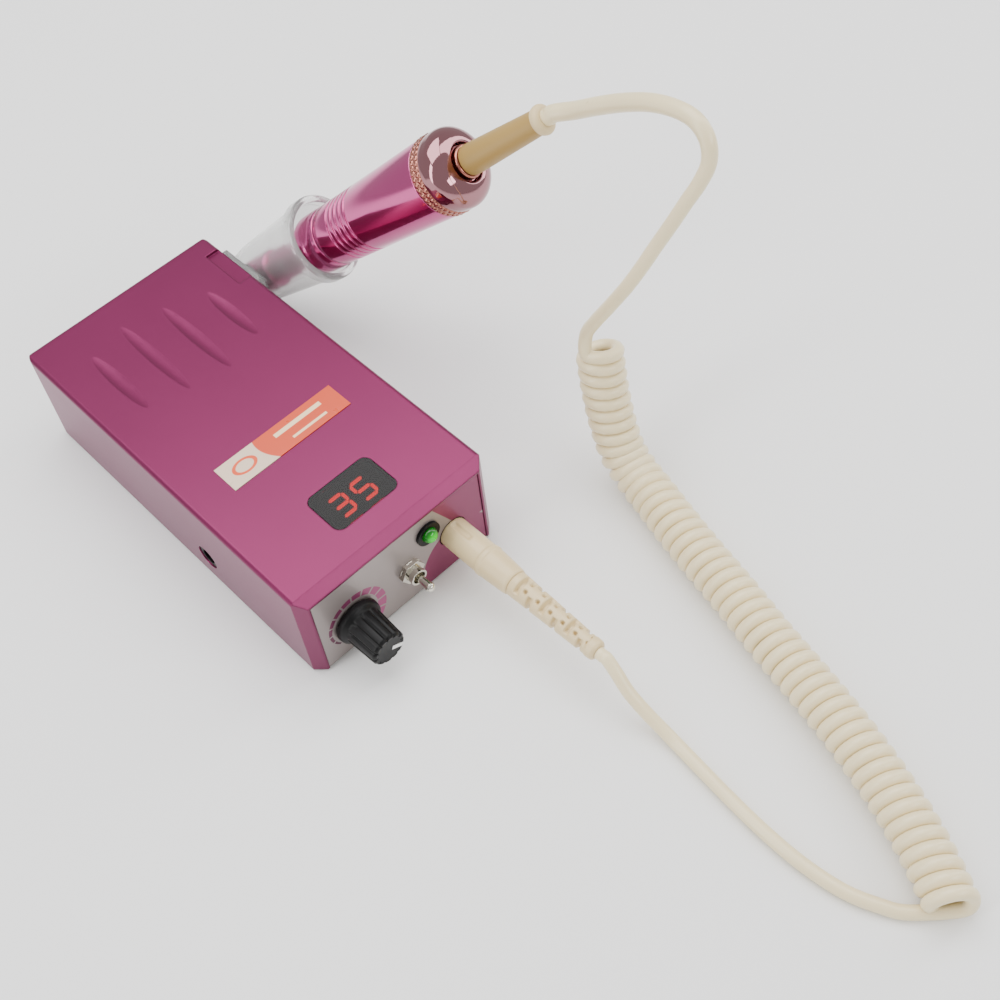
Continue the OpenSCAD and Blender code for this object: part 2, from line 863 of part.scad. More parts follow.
module handpiece_cup() color([0.85, 0.9, 0.92, 0.35]) {
    on_cup()
        difference() {
            union() {
                cup_solid(0);
                translate([0, 0, rim_z])
                    cylinder(h = rim_l, r = cup_top_r + rim_out, $fn = 96);
            }
            cup_solid(-cup_wall);
        }
}

// The plate on the box's side, its tongue, and the web out to the cup
module cup_plate() color([0.85, 0.9, 0.92, 0.35]) {
    plate_x = case_w / 2 + 0.05;
    difference() {
        union() {
            translate([plate_x, plate_y - plate_l / 2, plate_low])
                cube([clip_t, plate_l, plate_high - plate_low]);
            translate([in_x + fit, plate_y - tongue_l / 2 + fit, tongue_low + fit])
                cube([wall + 0.5, tongue_l - 2 * fit, tongue_h - 2 * fit]);
            translate([plate_x + 1, plate_y - 6, plate_low + 4])
                cube([8, 11, 12]);
        }
        on_cup()
            cup_solid(0.02);
    }
}

// The handpiece's housing

module handpiece_barrel() color([0.72, 0.26, 0.42]) {
    on_handpiece()
        difference() {
            translate([0, 0, seam_z + 0.2])
                cylinder(
                    h = band_z - seam_z - 0.2, r1 = hp_front_d / 2, r2 = hp_rear_d / 2 - 0.1, $fn = 96
                );
            translate([0, 0, seam_z - cut])
                cylinder(h = band_z - seam_z + 2 * cut, r = can_r + run);
            for (i = [0 : groove_count - 1]) {
                low = groove_z + i * groove_pitch;
                r = hp_front_d / 2 + (hp_rear_d - hp_front_d) / 2 * (low - seam_z) / (band_z - seam_z);
                ring(r + cut, r - groove_depth, low, low + groove_w);
            }
        }
}

module vent_band() color([0.55, 0.42, 0.36]) {
    on_handpiece()
        difference() {
            ring(hp_rear_d / 2 + 0.15, can_r + run, band_z, cap_z);
            ring(hp_rear_d / 2 + cut, hp_rear_d / 2 - 0.35, band_z + band_l / 2 - 0.15, band_z + band_l / 2 + 0.15);
        }
}

module rear_cap() color([0.62, 0.22, 0.34]) {
    flat_r = hp_rear_d / 2 - cap_round;
    on_handpiece()
        difference() {
            union() {
                translate([0, 0, cap_z])
                    cylinder(h = cap_l - cap_round, r = hp_rear_d / 2);
                translate([0, 0, hp_l - cap_round])
                    rotate_extrude($fn = 96)
                        union() {
                            square([flat_r, cap_round]);
                            translate([flat_r, 0])
                                intersection() {
                                    circle(cap_round, $fn = 96);
                                    square(cap_round);
                                }
                        }
            }
            translate([0, 0, cap_z - cut])
                cylinder(h = 3 + cut, r = can_r - 1);
            translate([0, 0, cap_z])
                cylinder(h = cap_l + cut, r = gland_neck_r + 0.02);
            // the shallow dish that the gland stands in
            translate([0, 0, hp_l - dish_depth])
                cylinder(h = dish_depth + cut, r1 = gland_r + 0.5, r2 = gland_r + 3);
        }
}

module nose_housing() color([0.70, 0.24, 0.38]) {
    on_handpiece()
        difference() {
            rotate_extrude($fn = 96)
                polygon([
                    [0, 0], [nose_d / 2 - 2.6, 0], [nose_d / 2 - 0.4, 4], [nose_d / 2, 5.5],
                    [nose_d / 2, neck_z - 0.6], [nose_d / 2 - 0.6, neck_z], [neck_r, neck_z],
                    [neck_r, ring_z + 3.2], [journal_r, ring_z + 3.2], [journal_r, seam_z + 0.3],
                    [can_r, seam_z + 0.3], [can_r, can_z], [0, can_z]
                ]);
            translate([0, 0, -cut])
                cylinder(h = 4, r = spindle_r + 0.35);
            translate([0, 0, 2.5])
                cylinder(h = can_z, r = spindle_bore_r);
            for (low = [6, seam_z - 3])
                translate([0, 0, low])
                    cylinder(h = 4, r = bearing_r);
        }
}

module lock_ring() color([0.74, 0.28, 0.44]) {
    on_handpiece()
        difference() {
            rotate_extrude($fn = 96)
                polygon([
                    [0, ring_z], [hp_front_d / 2 - 2.2, ring_z], [hp_front_d / 2 - 0.8, ring_z + 0.6],
                    [hp_front_d / 2 - 0.2, ring_z + 2.2], [hp_front_d / 2, ring_z + 5],
                    [hp_front_d / 2, seam_z - 0.1], [0, seam_z - 0.1]
                ]);
            translate([0, 0, ring_z - cut])
                cylinder(h = 10, r = neck_r + run);
            translate([0, 0, ring_z + 3])
                cylinder(h = seam_z, r = journal_r + run);
        }
}

// The motor and the chuck inside the handpiece

module motor_can() color([0.62, 0.62, 0.64]) {
    on_handpiece()
        ring(can_r, can_r - can_wall, can_z, cap_z - 0.1);
}

module motor_magnets() color([0.2, 0.2, 0.22]) {
    on_handpiece()
        difference() {
            ring(can_r - can_wall, can_r - can_wall - 1.1, can_z + 4, brush_z - 2);
            translate([-20, -1, can_z])
                cube([40, 2, 60]);
        }
}

module brush_holder() color([0.9, 0.88, 0.8]) {
    on_handpiece()
        difference() {
            ring(can_r - can_wall, 4.6, brush_z, rear_bearing_z + 4.5);
            translate([0, 0, rear_bearing_z])
                cylinder(h = 10, r = bearing_r);
            translate([-20, -1.6, brush_z + 1])
                cube([40, 3.2, 3.6]);
        }
}

module carbon_brushes() color([0.12, 0.12, 0.13]) {
    on_handpiece()
        for (turn = [0, 180])
            rotate(turn)
                translate([4.05, -1.55, brush_z + 1.1])
                    cube([can_r - can_wall - 4.15, 3.1, 3.4]);
}

module bearing(low) {
    ring(bearing_r, spindle_r + 0.02, low, low + 4);
}

module front_bearings() color([0.75, 0.76, 0.78]) {
    on_handpiece()
        for (low = [6, seam_z - 3])
            bearing(low);
}

module rear_bearing() color([0.75, 0.76, 0.78]) {
    on_handpiece()
        bearing(rear_bearing_z);
}

module spindle() color([0.8, 0.8, 0.82]) {
    on_handpiece()
        difference() {
            translate([0, 0, 1])
                cylinder(h = rear_bearing_z + 4, r = spindle_r);
            cylinder(h = collet_l + 2, r = collet_r);
        }
}

module collet() color([0.82, 0.82, 0.84]) {
    on_handpiece()
        ring(collet_r, shank_d / 2 + 0.02, 1.2, collet_l);
}

spring_low = 14;
spring_high = 40;
spring_r = 3.7;
spring_turns = 7;
spring_wire_r = 0.3;
spring_steps = 12;

module chuck_spring() color([0.6, 0.6, 0.62]) {
    on_handpiece()
        tube(
            [
                for (i = [0 : spring_turns * spring_steps])
                    let (turn = 360 * i / spring_steps)
                    [
                        spring_r * cos(turn), spring_r * sin(turn),
                        spring_low + (spring_high - spring_low) * i / (spring_turns * spring_steps)
                    ]
            ],
            spring_wire_r, 6
        );
}

module motor_rotor() color([0.66, 0.4, 0.24]) {
    on_handpiece()
        difference() {
            ring(can_r - can_wall - 1.5, spindle_r, can_z + 5, brush_z - 4);
            for (turn = [0 : 72 : 288])
                rotate(turn)
                    translate([3.8, -0.6, can_z])
                        cube([8, 1.2, 60]);
        }
}

module commutator() color([0.72, 0.42, 0.25]) {
    on_handpiece()
        ring(3.95, spindle_r, brush_z - 3, brush_z + 6);
}

// The cord and what is on it

module rear_gland() color([0.78, 0.5, 0.42]) {
    on_handpiece() {
        translate([0, 0, cap_z + 3])
            cylinder(h = cap_l - 3, r = gland_neck_r);
        translate([0, 0, hp_l - dish_depth])
            cylinder(h = relief_z - hp_l + dish_depth, r = gland_r);
    }
}

module handpiece_relief() color([0.80, 0.74, 0.58]) {
    on_handpiece() {
        translate([0, 0, relief_z])
            cylinder(h = relief_l, r1 = 5.1, r2 = 4);
        translate([0, 0, relief_z + relief_l])
            rotate_extrude($fn = 64)
                polygon([[0, 0], [4, 0], [4.7, 0.6], [4.9, 1.5], [4.6, 2.5], [3.8, bead_l], [0, bead_l]]);
    }
}

module upper_lead() color([0.90, 0.88, 0.80]) {
    // thicker at the handpiece, and as thin as the rest of the cord past the arch
    along = smooth(upper_route, 2);
    slim = 0.55 * len(along);
    tube(
        along,
        [for (i = [0 : len(along) - 1]) (cord_d + (lead_d - cord_d) * min(1, max(0, 1.6 * (1 - i / slim)))) / 2],
        8
    );
}

module curly_cord() color([0.92, 0.90, 0.83]) {
    tube(curl_route, curl_d / 2, 12);
}

module plug_lead() color([0.90, 0.88, 0.78]) {
    tube(smooth(plug_route, 2), cord_d / 2, 8);
}

module cord_plug() color([0.92, 0.89, 0.80]) {
    out_front(socket_x, panel_back - 0.05, socket_z)
        difference() {
            union() {
                cylinder(h = panel_t + plug_grip_l, r = plug_d / 2);
                translate([0, 0, panel_t + plug_grip_l])
                    cylinder(h = plug_collar_l, r1 = plug_d / 2 + 0.3, r2 = plug_d / 2 - 0.7);
            }
            // the keyway in the front edge
            translate([-1, plug_d / 2 - 1.2, -cut])
                cube([2, 3, panel_t + 4 + cut]);
        }
    into_front(socket_x, panel_back - 0.1, socket_z)
        difference() {
            cylinder(h = plug_nose_l, r = plug_nose_r);
            translate([0, 0, 1])
                cylinder(h = plug_nose_l, r = plug_nose_r - 0.5);
        }
}

module plug_pins() color([0.82, 0.7, 0.3]) {
    for (turn = [45 : 90 : 315])
        into_front(socket_x + 1.8 * cos(turn), panel_back + 0.9, socket_z + 1.8 * sin(turn))
            cylinder(h = plug_nose_l, r = 0.5, $fn = 24);
}

module plug_relief() color([0.90, 0.86, 0.76]) {
    start = -panel_back + 0.05 + panel_t + plug_grip_l + plug_collar_l;
    l = -plug_end_y - start;
    r1 = plug_d / 2 - 0.7;
    r2 = cord_d / 2 + 1.1;
    ribs = 6;
    out_front(socket_x, -start, socket_z)
        difference() {
            cylinder(h = l, r1 = r1, r2 = r2);
            for (i = [0 : ribs - 1])
                for (turn = [0, 180])
                    rotate(turn + 90 * (i % 2))
                        translate([cord_d / 2 + 0.4, -6, 3 + i * 5.1])
                            cube([6, 12, 1.3]);
        }
}

top_shell();
bottom_cover();
case_screws();
rubber_feet();
front_panel();
display_window();
display_module();
display_digits();
label();
control_board();
battery_cells();
battery_tray();
charge_socket();
charge_pin();
potentiometer();
potentiometer_nut();
potentiometer_shaft();
speed_knob();
knob_pointer();
toggle_switch();
toggle_nut();
toggle_lever();
lamp_bezel();
green_lamp();
cord_socket();
socket_contacts();
handpiece_cup();
cup_plate();
handpiece_barrel();
vent_band();
rear_cap();
nose_housing();
lock_ring();
motor_can();
motor_magnets();
brush_holder();
carbon_brushes();
front_bearings();
rear_bearing();
spindle();
collet();
chuck_spring();
motor_rotor();
commutator();
rear_gland();
handpiece_relief();
upper_lead();
curly_cord();
plug_lead();
cord_plug();
plug_pins();
plug_relief();
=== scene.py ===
# %% [markdown]
# # A portable electric nail drill
# A pink control box carries a clear cup, and the drill's handpiece rests in the cup. A curly cord
# runs from the handpiece down to the table and back to a plug on the front panel.
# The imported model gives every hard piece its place, so this file adds what a maker sees: the
# wound cord, soft rounded edges, paint, bright metal and clear plastic.

import json
import math

import bpy
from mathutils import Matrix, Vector


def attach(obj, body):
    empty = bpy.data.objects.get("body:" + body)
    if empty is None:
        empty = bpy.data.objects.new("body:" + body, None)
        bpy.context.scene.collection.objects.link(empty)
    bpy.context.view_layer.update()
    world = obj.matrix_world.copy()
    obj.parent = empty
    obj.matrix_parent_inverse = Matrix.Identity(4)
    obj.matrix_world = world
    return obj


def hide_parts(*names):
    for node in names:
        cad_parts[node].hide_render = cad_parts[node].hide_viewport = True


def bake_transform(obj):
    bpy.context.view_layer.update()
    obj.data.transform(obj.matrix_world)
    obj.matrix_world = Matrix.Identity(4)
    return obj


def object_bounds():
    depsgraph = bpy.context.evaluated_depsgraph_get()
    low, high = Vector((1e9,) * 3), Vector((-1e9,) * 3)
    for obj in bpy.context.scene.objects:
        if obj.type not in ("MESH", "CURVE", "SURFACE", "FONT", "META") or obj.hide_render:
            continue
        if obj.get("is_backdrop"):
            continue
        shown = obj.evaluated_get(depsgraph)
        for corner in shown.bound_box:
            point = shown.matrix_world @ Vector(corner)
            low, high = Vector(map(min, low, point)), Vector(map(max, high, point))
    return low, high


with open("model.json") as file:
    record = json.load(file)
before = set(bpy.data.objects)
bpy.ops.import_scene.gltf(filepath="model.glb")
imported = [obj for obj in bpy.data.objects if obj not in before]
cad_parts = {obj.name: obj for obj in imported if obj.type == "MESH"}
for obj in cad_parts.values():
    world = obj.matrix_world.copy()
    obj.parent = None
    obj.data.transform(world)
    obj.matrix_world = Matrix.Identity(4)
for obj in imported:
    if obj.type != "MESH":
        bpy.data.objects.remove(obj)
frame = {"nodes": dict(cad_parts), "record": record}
CAD_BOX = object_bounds()
BOX = "control_box"
HAND = "handpiece"
MM = 0.001
print("pieces in the packed model:", len(frame["nodes"]))

# %% [markdown]
# ## The camera
# It looks down on the box from the left of its front, and is turned a little about its own axis.
# A camera could be aimed with a constraint. Here three angles make its axes directly, because the
# small turn about the view is then just one more number.

# %% Camera
AZIMUTH, ELEVATION, ROLL = (math.radians(a) for a in (-37.66, 53.98, -7.69))
EYE = Vector((-129.33, -293.83, 396.70)) * MM


def camera_axes(azimuth, elevation, roll):
    forward = Vector(
        (
            -math.sin(azimuth) * math.cos(elevation),
            math.cos(azimuth) * math.cos(elevation),
            -math.sin(elevation),
        )
    )
    level = Vector((math.cos(azimuth), math.sin(azimuth), 0))
    upright = level.cross(forward)
    right = level * math.cos(roll) + upright * math.sin(roll)
    up = upright * math.cos(roll) - level * math.sin(roll)
    return right, up, forward


def make_camera():
    right, up, forward = camera_axes(AZIMUTH, ELEVATION, ROLL)
    data = bpy.data.cameras.new("camera")
    data.sensor_width = 36
    data.lens = 52.88
    data.clip_start = 0.01
    camera = bpy.data.objects.new("camera", data)
    bpy.context.scene.collection.objects.link(camera)
    for column, axis in enumerate((right, up, -forward)):
        for row in range(3):
            camera.matrix_world[row][column] = axis[row]
    matrix = camera.matrix_world.copy()
    matrix.translation = EYE
    camera.matrix_world = matrix
    bpy.context.scene.camera = camera
    return camera


print("camera at", tuple(round(v, 3) for v in make_camera().matrix_world.translation))

# %% [markdown]
# ## Points, lines and meshes
# Nearly every piece here is round about a straight line or follows a curve, so a few helpers make
# them all: one puts points round a line, one turns a profile about it, and one sweeps a tube.

# %% A mesh from points and faces


def piece_from(name, points, faces, body, smooth=True):
    mesh = bpy.data.meshes.new(name)
    mesh.from_pydata([tuple(p) for p in points], [], faces)
    mesh.validate()
    mesh.update()
    piece = bpy.data.objects.new(name, mesh)
    bpy.context.scene.collection.objects.link(piece)
    mesh.polygons.foreach_set("use_smooth", [smooth] * len(mesh.polygons))
    if body:
        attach(piece, body)
    return piece


# %% A smooth curve through points


def smooth_path(points, steps):
    """Catmull-Rom: the curve passes through every point, and bends gently between them."""
    points = [Vector(p) for p in points]
    made = []
    for i in range(len(points) - 1):
        a, b = points[max(i - 1, 0)], points[i]
        c, d = points[i + 1], points[min(i + 2, len(points) - 1)]
        for k in range(steps):
            t = k / steps
            made.append(
                (
                    2 * b
                    + (c - a) * t
                    + (2 * a - 5 * b + 4 * c - d) * t**2
                    + (3 * b - a - 3 * c + d) * t**3
                )
                * 0.5
            )
    return made + [points[-1]]


def path_length(path):
    return sum((b - a).length for a, b in zip(path, path[1:]))


# %% Side directions that don't twist along a path


def carried_sides(path, first):
    """Carries one sideways direction along the path, so that a tube round it never wrings."""
    sides = []
    side = Vector(first)
    for i in range(len(path)):
        ahead = (path[min(i + 1, len(path) - 1)] - path[max(i - 1, 0)]).normalized()
        side = (side - ahead * side.dot(ahead)).normalized()
        sides.append((side, ahead.cross(side)))
    return sides


# %% A tube along a path


def tube(name, path, radius_at, body, around=12):
    sides = carried_sides(path, (0.2, 0.3, 1))
    points = []
    for i, (centre, (side, third)) in enumerate(zip(path, sides)):
        radius = radius_at(i)
        for k in range(around):
            turn = 2 * math.pi * k / around
            points.append(
                centre + side * (radius * math.cos(turn)) + third * (radius * math.sin(turn))
            )
    faces = []
    for i in range(len(path) - 1):
        for k in range(around):
            beside = (k + 1) % around
            low, high = i * around, (i + 1) * around
            faces.append((low + k, low + beside, high + beside, high + k))
    faces.append(tuple(reversed(range(around))))
    faces.append(tuple(len(points) - around + k for k in range(around)))
    return piece_from(name, points, faces, body)


# %% A straight line that round pieces are turned about


class Line:
    def __init__(self, start, along, up):
        self.start = Vector(start)
        self.along = Vector(along).normalized()
        up = Vector(up)
        self.side = (up - self.along * up.dot(self.along)).normalized()
        self.third = self.along.cross(self.side)

    def at(self, along, radius=0.0, turn=0.0):
        out = self.side * math.cos(turn) + self.third * math.sin(turn)
        return self.start + self.along * along + out * radius


# %% A profile with its corners rounded


def rounded(profile, size, steps=4):
    """Replaces each inner corner of a profile with a short curve, as a polished edge has."""
    profile = [Vector(p) for p in profile]
    made = [profile[0]]
    for before, here, after in zip(profile, profile[1:], profile[2:]):
        reach = min(size, 0.45 * (here - before).length, 0.45 * (after - here).length)
        start = here + (before - here).normalized() * reach
        end = here + (after - here).normalized() * reach
        for k in range(steps + 1):
            t = k / steps
            made.append(start * (1 - t) ** 2 + here * (2 * t * (1 - t)) + end * t**2)
    return made + [profile[-1]]


# %% A solid turned about a line


def turned(name, line, profile, body, around=96, ripple=None):
    """Turns a profile of (along, radius) points about a line. A radius of 0 closes the end."""
    points, rings, faces = [], [], []
    for along, radius in profile:
        if radius < 1e-7:
            rings.append([len(points)])
            points.append(line.at(along))
            continue
        rings.append(list(range(len(points), len(points) + around)))
        for k in range(around):
            turn = 2 * math.pi * k / around
            extra = ripple(along, radius, turn) if ripple else 0
            points.append(line.at(along, radius + extra, turn))
    pairs = list(zip(rings, rings[1:]))
    if len(rings[0]) > 1:
        pairs.append((rings[-1], rings[0]))
    for low, high in pairs:
        for k in range(around):
            beside = (k + 1) % around
            if len(low) == 1:
                faces.append((low[0], high[beside], high[k]))
            elif len(high) == 1:
                faces.append((low[k], low[beside], high[0]))
            else:
                faces.append((low[k], low[beside], high[beside], high[k]))
    return piece_from(name, points, faces, body)


# %% [markdown]
# ## The cord's route
# The cord is one length of cable. It leaves the handpiece, arches over, enters a stretch wound
# round a rod at the factory, and runs on from the last turn to its plug. The same round points
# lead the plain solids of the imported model, so the cord lies where they lie.
# A helix could be a curve with a screw modifier. Points worked out one by one are better here,
# because the leads must flow into the first and last turns without a kink.

# %% The handpiece's line and the cord's points
LEAN, TILT = math.radians(21), math.radians(47)
HAND_LINE = Line(
    Vector((46.5, 68.5, 10.5)) * MM,
    (math.sin(LEAN), -math.cos(LEAN) * math.sin(TILT), math.cos(LEAN) * math.cos(TILT)),
    (0, 0, 1),
)
RELIEF_END = 158 * MM
UPPER_ROUTE = [HAND_LINE.at(RELIEF_END + along * MM) for along in (0.02, 1.8, 3.6)] + [
    Vector(p) * MM
    for p in [
        (106.8, -48, 116.2), (107.3, -57, 122.3), (107.5, -67, 128.7), (107.5, -77, 134),
        (107, -86.5, 137.3), (106.4, -94, 137.8), (105.6, -99, 134.5), (104.4, -100.8, 128.8),
        (102.4, -99.6, 122.3), (100, -97.3, 115.8), (97.5, -94.3, 107.5), (95, -90.8, 98.5),
        (92.2, -87.5, 89.5), (89.5, -84, 81), (87, -79, 71), (85.3, -74.5, 62.5),
        (84.5, -71.5, 55.5),
    ]
]  # fmt: skip
CURL_ROUTE = [
    Vector(p) * MM
    for p in [
        (88.5, -73, 48), (86.8, -75.7, 39), (85.2, -79, 30), (83.6, -83.3, 21),
        (82.2, -88.6, 13), (81.1, -95.8, 8.4), (79.3, -104.6, 7), (75.7, -117.5, 7),
        (71.9, -132.6, 7), (68, -149.8, 7), (63.4, -168, 7), (59.2, -187, 7),
        (54.4, -205.5, 7), (48.5, -223.5, 7), (41.6, -240, 7), (33.4, -255.5, 7),
    ]
]  # fmt: skip
PLUG_END = Vector((21, -136.5, 16.5)) * MM
PLUG_ROUTE = [PLUG_END + Vector((0, -along, 0)) * MM for along in (0.02, 1.8, 3.6)] + [
    Vector(p) * MM
    for p in [
        (20.5, -144.5, 13.8), (20, -149.5, 9.8), (20.3, -156.5, 5.4), (20.5, -166.5, 1.9),
        (19.6, -177, 1.3), (18.2, -191, 1.3), (17.3, -204, 1.3), (17.3, -217.5, 1.3),
        (19, -230.5, 1.3), (22.5, -240, 1.3), (26.6, -247, 1.3),
    ]
]  # fmt: skip
print("the curly stretch is", round(path_length(CURL_ROUTE) * 1000), "mm long")

# %% [markdown]
# ## Winding the curly stretch
# The turns touch each other, so one turn advances by one diameter of cable. The winding starts on
# the side where the upper lead comes in, and ends underneath, where the plug's lead lies on the
# table.

# %% Wind the helix
TURN_RADIUS = 5.75 * MM
TURN_PITCH = 4.42 * MM
RINGS_PER_TURN = 18


def wound(route, pitch, radius, first_side, last_side):
    centres = smooth_path(route, 24)
    sides = carried_sides(centres, first_side)
    far = [0.0]
    for a, b in zip(centres, centres[1:]):
        far.append(far[-1] + (b - a).length)
    side, third = sides[-1]
    last = math.atan2(Vector(last_side).dot(third), Vector(last_side).dot(side))
    turns = far[-1] / pitch
    whole = round(turns + last / (2 * math.pi))
    sweep = 2 * math.pi * whole - last
    made = []
    count = int(sweep / (2 * math.pi) * RINGS_PER_TURN)
    at = 0
    for i in range(count + 1):
        along = far[-1] * i / count
        while at < len(far) - 2 and far[at + 1] < along:
            at += 1
        t = (along - far[at]) / (far[at + 1] - far[at])
        centre = centres[at].lerp(centres[at + 1], t)
        side = sides[at][0].lerp(sides[at + 1][0], t)
        third = sides[at][1].lerp(sides[at + 1][1], t)
        turn = -sweep * i / count
        made.append(centre + side * (radius * math.cos(turn)) + third * (radius * math.sin(turn)))
    return made, whole


HELIX, TURNS = wound(CURL_ROUTE, TURN_PITCH, TURN_RADIUS, (-0.75, 0.66, 0), (0, 0, -1))
print("turns in the curly stretch:", TURNS)

# %% Join the leads to the winding
LEAD_STEPS = 6
upper = smooth_path(UPPER_ROUTE + [HELIX[2], HELIX[5], HELIX[8]], LEAD_STEPS)
upper = upper[: LEAD_STEPS * (len(UPPER_ROUTE) + 1) + 1]
lower = smooth_path([HELIX[-9], HELIX[-6], HELIX[-3]] + PLUG_ROUTE[::-1], LEAD_STEPS)[LEAD_STEPS:]
CORD_PATH = upper[:-1] + HELIX[5:-5] + lower[1:]
UPPER_RINGS = len(upper)
LENGTH = path_length(CORD_PATH)
print("cord:", round(LENGTH, 3), "m in", len(CORD_PATH), "rings")


def cord_radius(i):
    """The cable is a little thicker where it leaves the handpiece, and slimmer at the plug."""
    near_hand = min(1, max(0, 1.6 * (1 - i / (0.55 * UPPER_RINGS))))
    near_plug = max(0, 1 - (len(CORD_PATH) - 1 - i) / 80)
    return (2.17 + 0.6 * near_hand - 0.12 * near_plug) * MM


cord = tube("curly_lead", CORD_PATH, cord_radius, None, around=14)

# %% [markdown]
# ## The plug
# The plug is moulded in one piece with a ribbed sleeve, which lets the cord bend near the panel.
# The sleeve's slots lie crosswise by turns, so it gives way in every direction. They are pushed
# into the turned surface point by point, which keeps one closed skin.

# %% Plug body
PLUG_LINE = Line(Vector((21, -72.5, 16.5)) * MM, (0, -1, 0), (0, 0, 1))
PLUG_PROFILE = [
    (0, 0), (0, 5.2), (15.5, 5.25), (15.9, 5.55), (17.3, 5.55), (17.7, 5.3), (19, 5.3),
    (27.5, 4.75), (28.7, 4.4), (28.7, 0),
]  # fmt: skip


def scaled(profile):
    return [Vector(p) * MM for p in profile]


def keyway(along, radius, turn):
    """A notch along the top of the plug, which lets it in one way round only."""
    across = abs((turn + math.pi) % (2 * math.pi) - math.pi) * radius
    inside = 1 if 1.5 * MM < along < 9 * MM and radius > 4 * MM else 0
    return -0.8 * MM * inside * max(0, min(1, (1.1 * MM - across) / (0.35 * MM)))


def finely(profile, step):
    """Adds points along the straight stretches of a profile, so that ripples have rings."""
    made = [profile[0]]
    for a, b in zip(profile, profile[1:]):
        parts = max(1, math.ceil((b - a).length / step))
        made += [a.lerp(b, k / parts) for k in range(1, parts + 1)]
    return made


plug_body = turned(
    "moulded_plug",
    PLUG_LINE,
    finely(rounded(scaled(PLUG_PROFILE), 0.5 * MM), 0.6 * MM),
    BOX,
    around=128,
    ripple=keyway,
)
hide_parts("cord_plug")
print("plug faces:", len(plug_body.data.polygons))

# %% Plug sleeve
SLEEVE_START, SLEEVE_END = 28.72 * MM, 63.98 * MM
SLOT_PITCH = 5.2 * MM
SLEEVE_PROFILE = [
    (28.72, 0), (28.72, 4.3), (60.5, 3.25), (61, 3.5), (63.2, 3.4), (63.98, 2.7), (63.98, 0),
]  # fmt: skip


def sleeve_slots(along, radius, turn):
    if not SLEEVE_START + 1.8 * MM < along < SLEEVE_END - 3.4 * MM or radius < 3 * MM:
        return 0
    place = (along - SLEEVE_START - 3.6 * MM) / SLOT_PITCH
    number = round(place)
    offset = abs(place - number) * SLOT_PITCH
    groove = max(0, min(1, (0.95 * MM - offset) / (0.3 * MM)))
    crosswise = 0.5 + 0.5 * math.cos(2 * turn + math.pi * (number % 2))
    opening = max(0, min(1, (crosswise - 0.22) / 0.12))
    hole = 0
    for side in (-0.42, 0.42):
        across = (turn - side + math.pi) % (2 * math.pi) - math.pi
        near = math.hypot(across * radius, (place - math.floor(place) - 0.5) * SLOT_PITCH)
        hole = max(hole, min(1, max(0, (0.78 * MM - near) / (0.22 * MM))))
    return -1.8 * MM * max(groove * opening, hole)


plug_sleeve = turned(
    "plug_sleeve",
    PLUG_LINE,
    finely(rounded(scaled(SLEEVE_PROFILE), 0.5 * MM), 0.25 * MM),
    BOX,
    around=128,
    ripple=sleeve_slots,
)
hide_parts("plug_relief")
print("sleeve faces:", len(plug_sleeve.data.polygons))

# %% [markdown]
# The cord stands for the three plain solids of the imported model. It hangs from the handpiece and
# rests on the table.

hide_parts("upper_lead", "curly_cord", "plug_lead")
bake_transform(cord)

# %% [markdown]
# ## The handpiece's housing
# Each part of the housing is turned from metal on a lathe, so each is one profile turned about the
# handpiece's line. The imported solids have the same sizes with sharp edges. Turning them again
# gives the small rounded edges that catch the light, and the fine patterns cut into the metal.

# %% Nose and its knurled neck
NOSE_PROFILE = [
    (3, 0), (3, 3.4), (0, 3.5), (0, 4.2), (4, 6.4), (5.5, 6.8), (21.4, 6.8), (22, 6.2), (22, 5.6),
    (46.2, 5.6), (46.2, 7.4), (55.8, 7.4), (55.8, 9.8), (59.7, 9.8), (59.7, 0),
]  # fmt: skip


def diamonds(low, high, rows, around, height):
    """A ripple of small pyramids in rows, such as a knurling wheel rolls into metal."""

    def ripple(along, radius, turn):
        if not low < along < high:
            return 0
        place = (along - low) / (high - low) * rows
        row = math.floor(place)
        up = abs(2 * (place - row) - 1)
        across = turn / (2 * math.pi) * around + 0.5 * (row % 2)
        sideways = abs(2 * (across - math.floor(across)) - 1)
        return height * max(0, 1 - up - sideways)

    return ripple


nose = turned(
    "turned_nose",
    HAND_LINE,
    finely(rounded(scaled(NOSE_PROFILE), 0.35 * MM), 0.5 * MM),
    HAND,
    around=192,
    ripple=diamonds(23.5 * MM, 42 * MM, 12, 24, 0.35 * MM),
)
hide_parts("nose_housing")
print("nose faces:", len(nose.data.polygons))

# %% Locking ring
RING_PROFILE = [
    (43, 5.66), (43, 8.6), (43.6, 10), (45.2, 10.6), (48, 10.8), (55.35, 10.8), (55.35, 7.46),
    (46, 7.46), (46, 5.66),
]  # fmt: skip
lock = turned(
    "turned_lock_ring",
    HAND_LINE,
    rounded(scaled(RING_PROFILE), 0.4 * MM),
    "chuck_lock",
    around=128,
)
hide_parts("lock_ring")

# %% Barrel with its grooves
FRONT_R, REAR_R = 10.8, 13.4
SEAM, BAND = 55.7, 110.5


def barrel_radius(along):
    return FRONT_R + (REAR_R - FRONT_R) * (along - SEAM) / (BAND - SEAM)


def barrel_profile():
    points = [(SEAM, 9.86), (SEAM, FRONT_R)]
    for number in range(5):
        low = 63.6 + 2.6 * number
        depth = 0.45
        points += [
            (low, barrel_radius(low)),
            (low + 0.1, barrel_radius(low) - depth),
            (low + 0.8, barrel_radius(low) - depth),
            (low + 0.9, barrel_radius(low + 0.9)),
        ]
    return points + [(BAND, REAR_R), (BAND, 9.86)]


barrel = turned(
    "turned_barrel",
    HAND_LINE,
    rounded(scaled(barrel_profile()), 0.3 * MM),
    HAND,
    around=160,
)
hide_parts("handpiece_barrel")
print("barrel faces:", len(barrel.data.polygons))

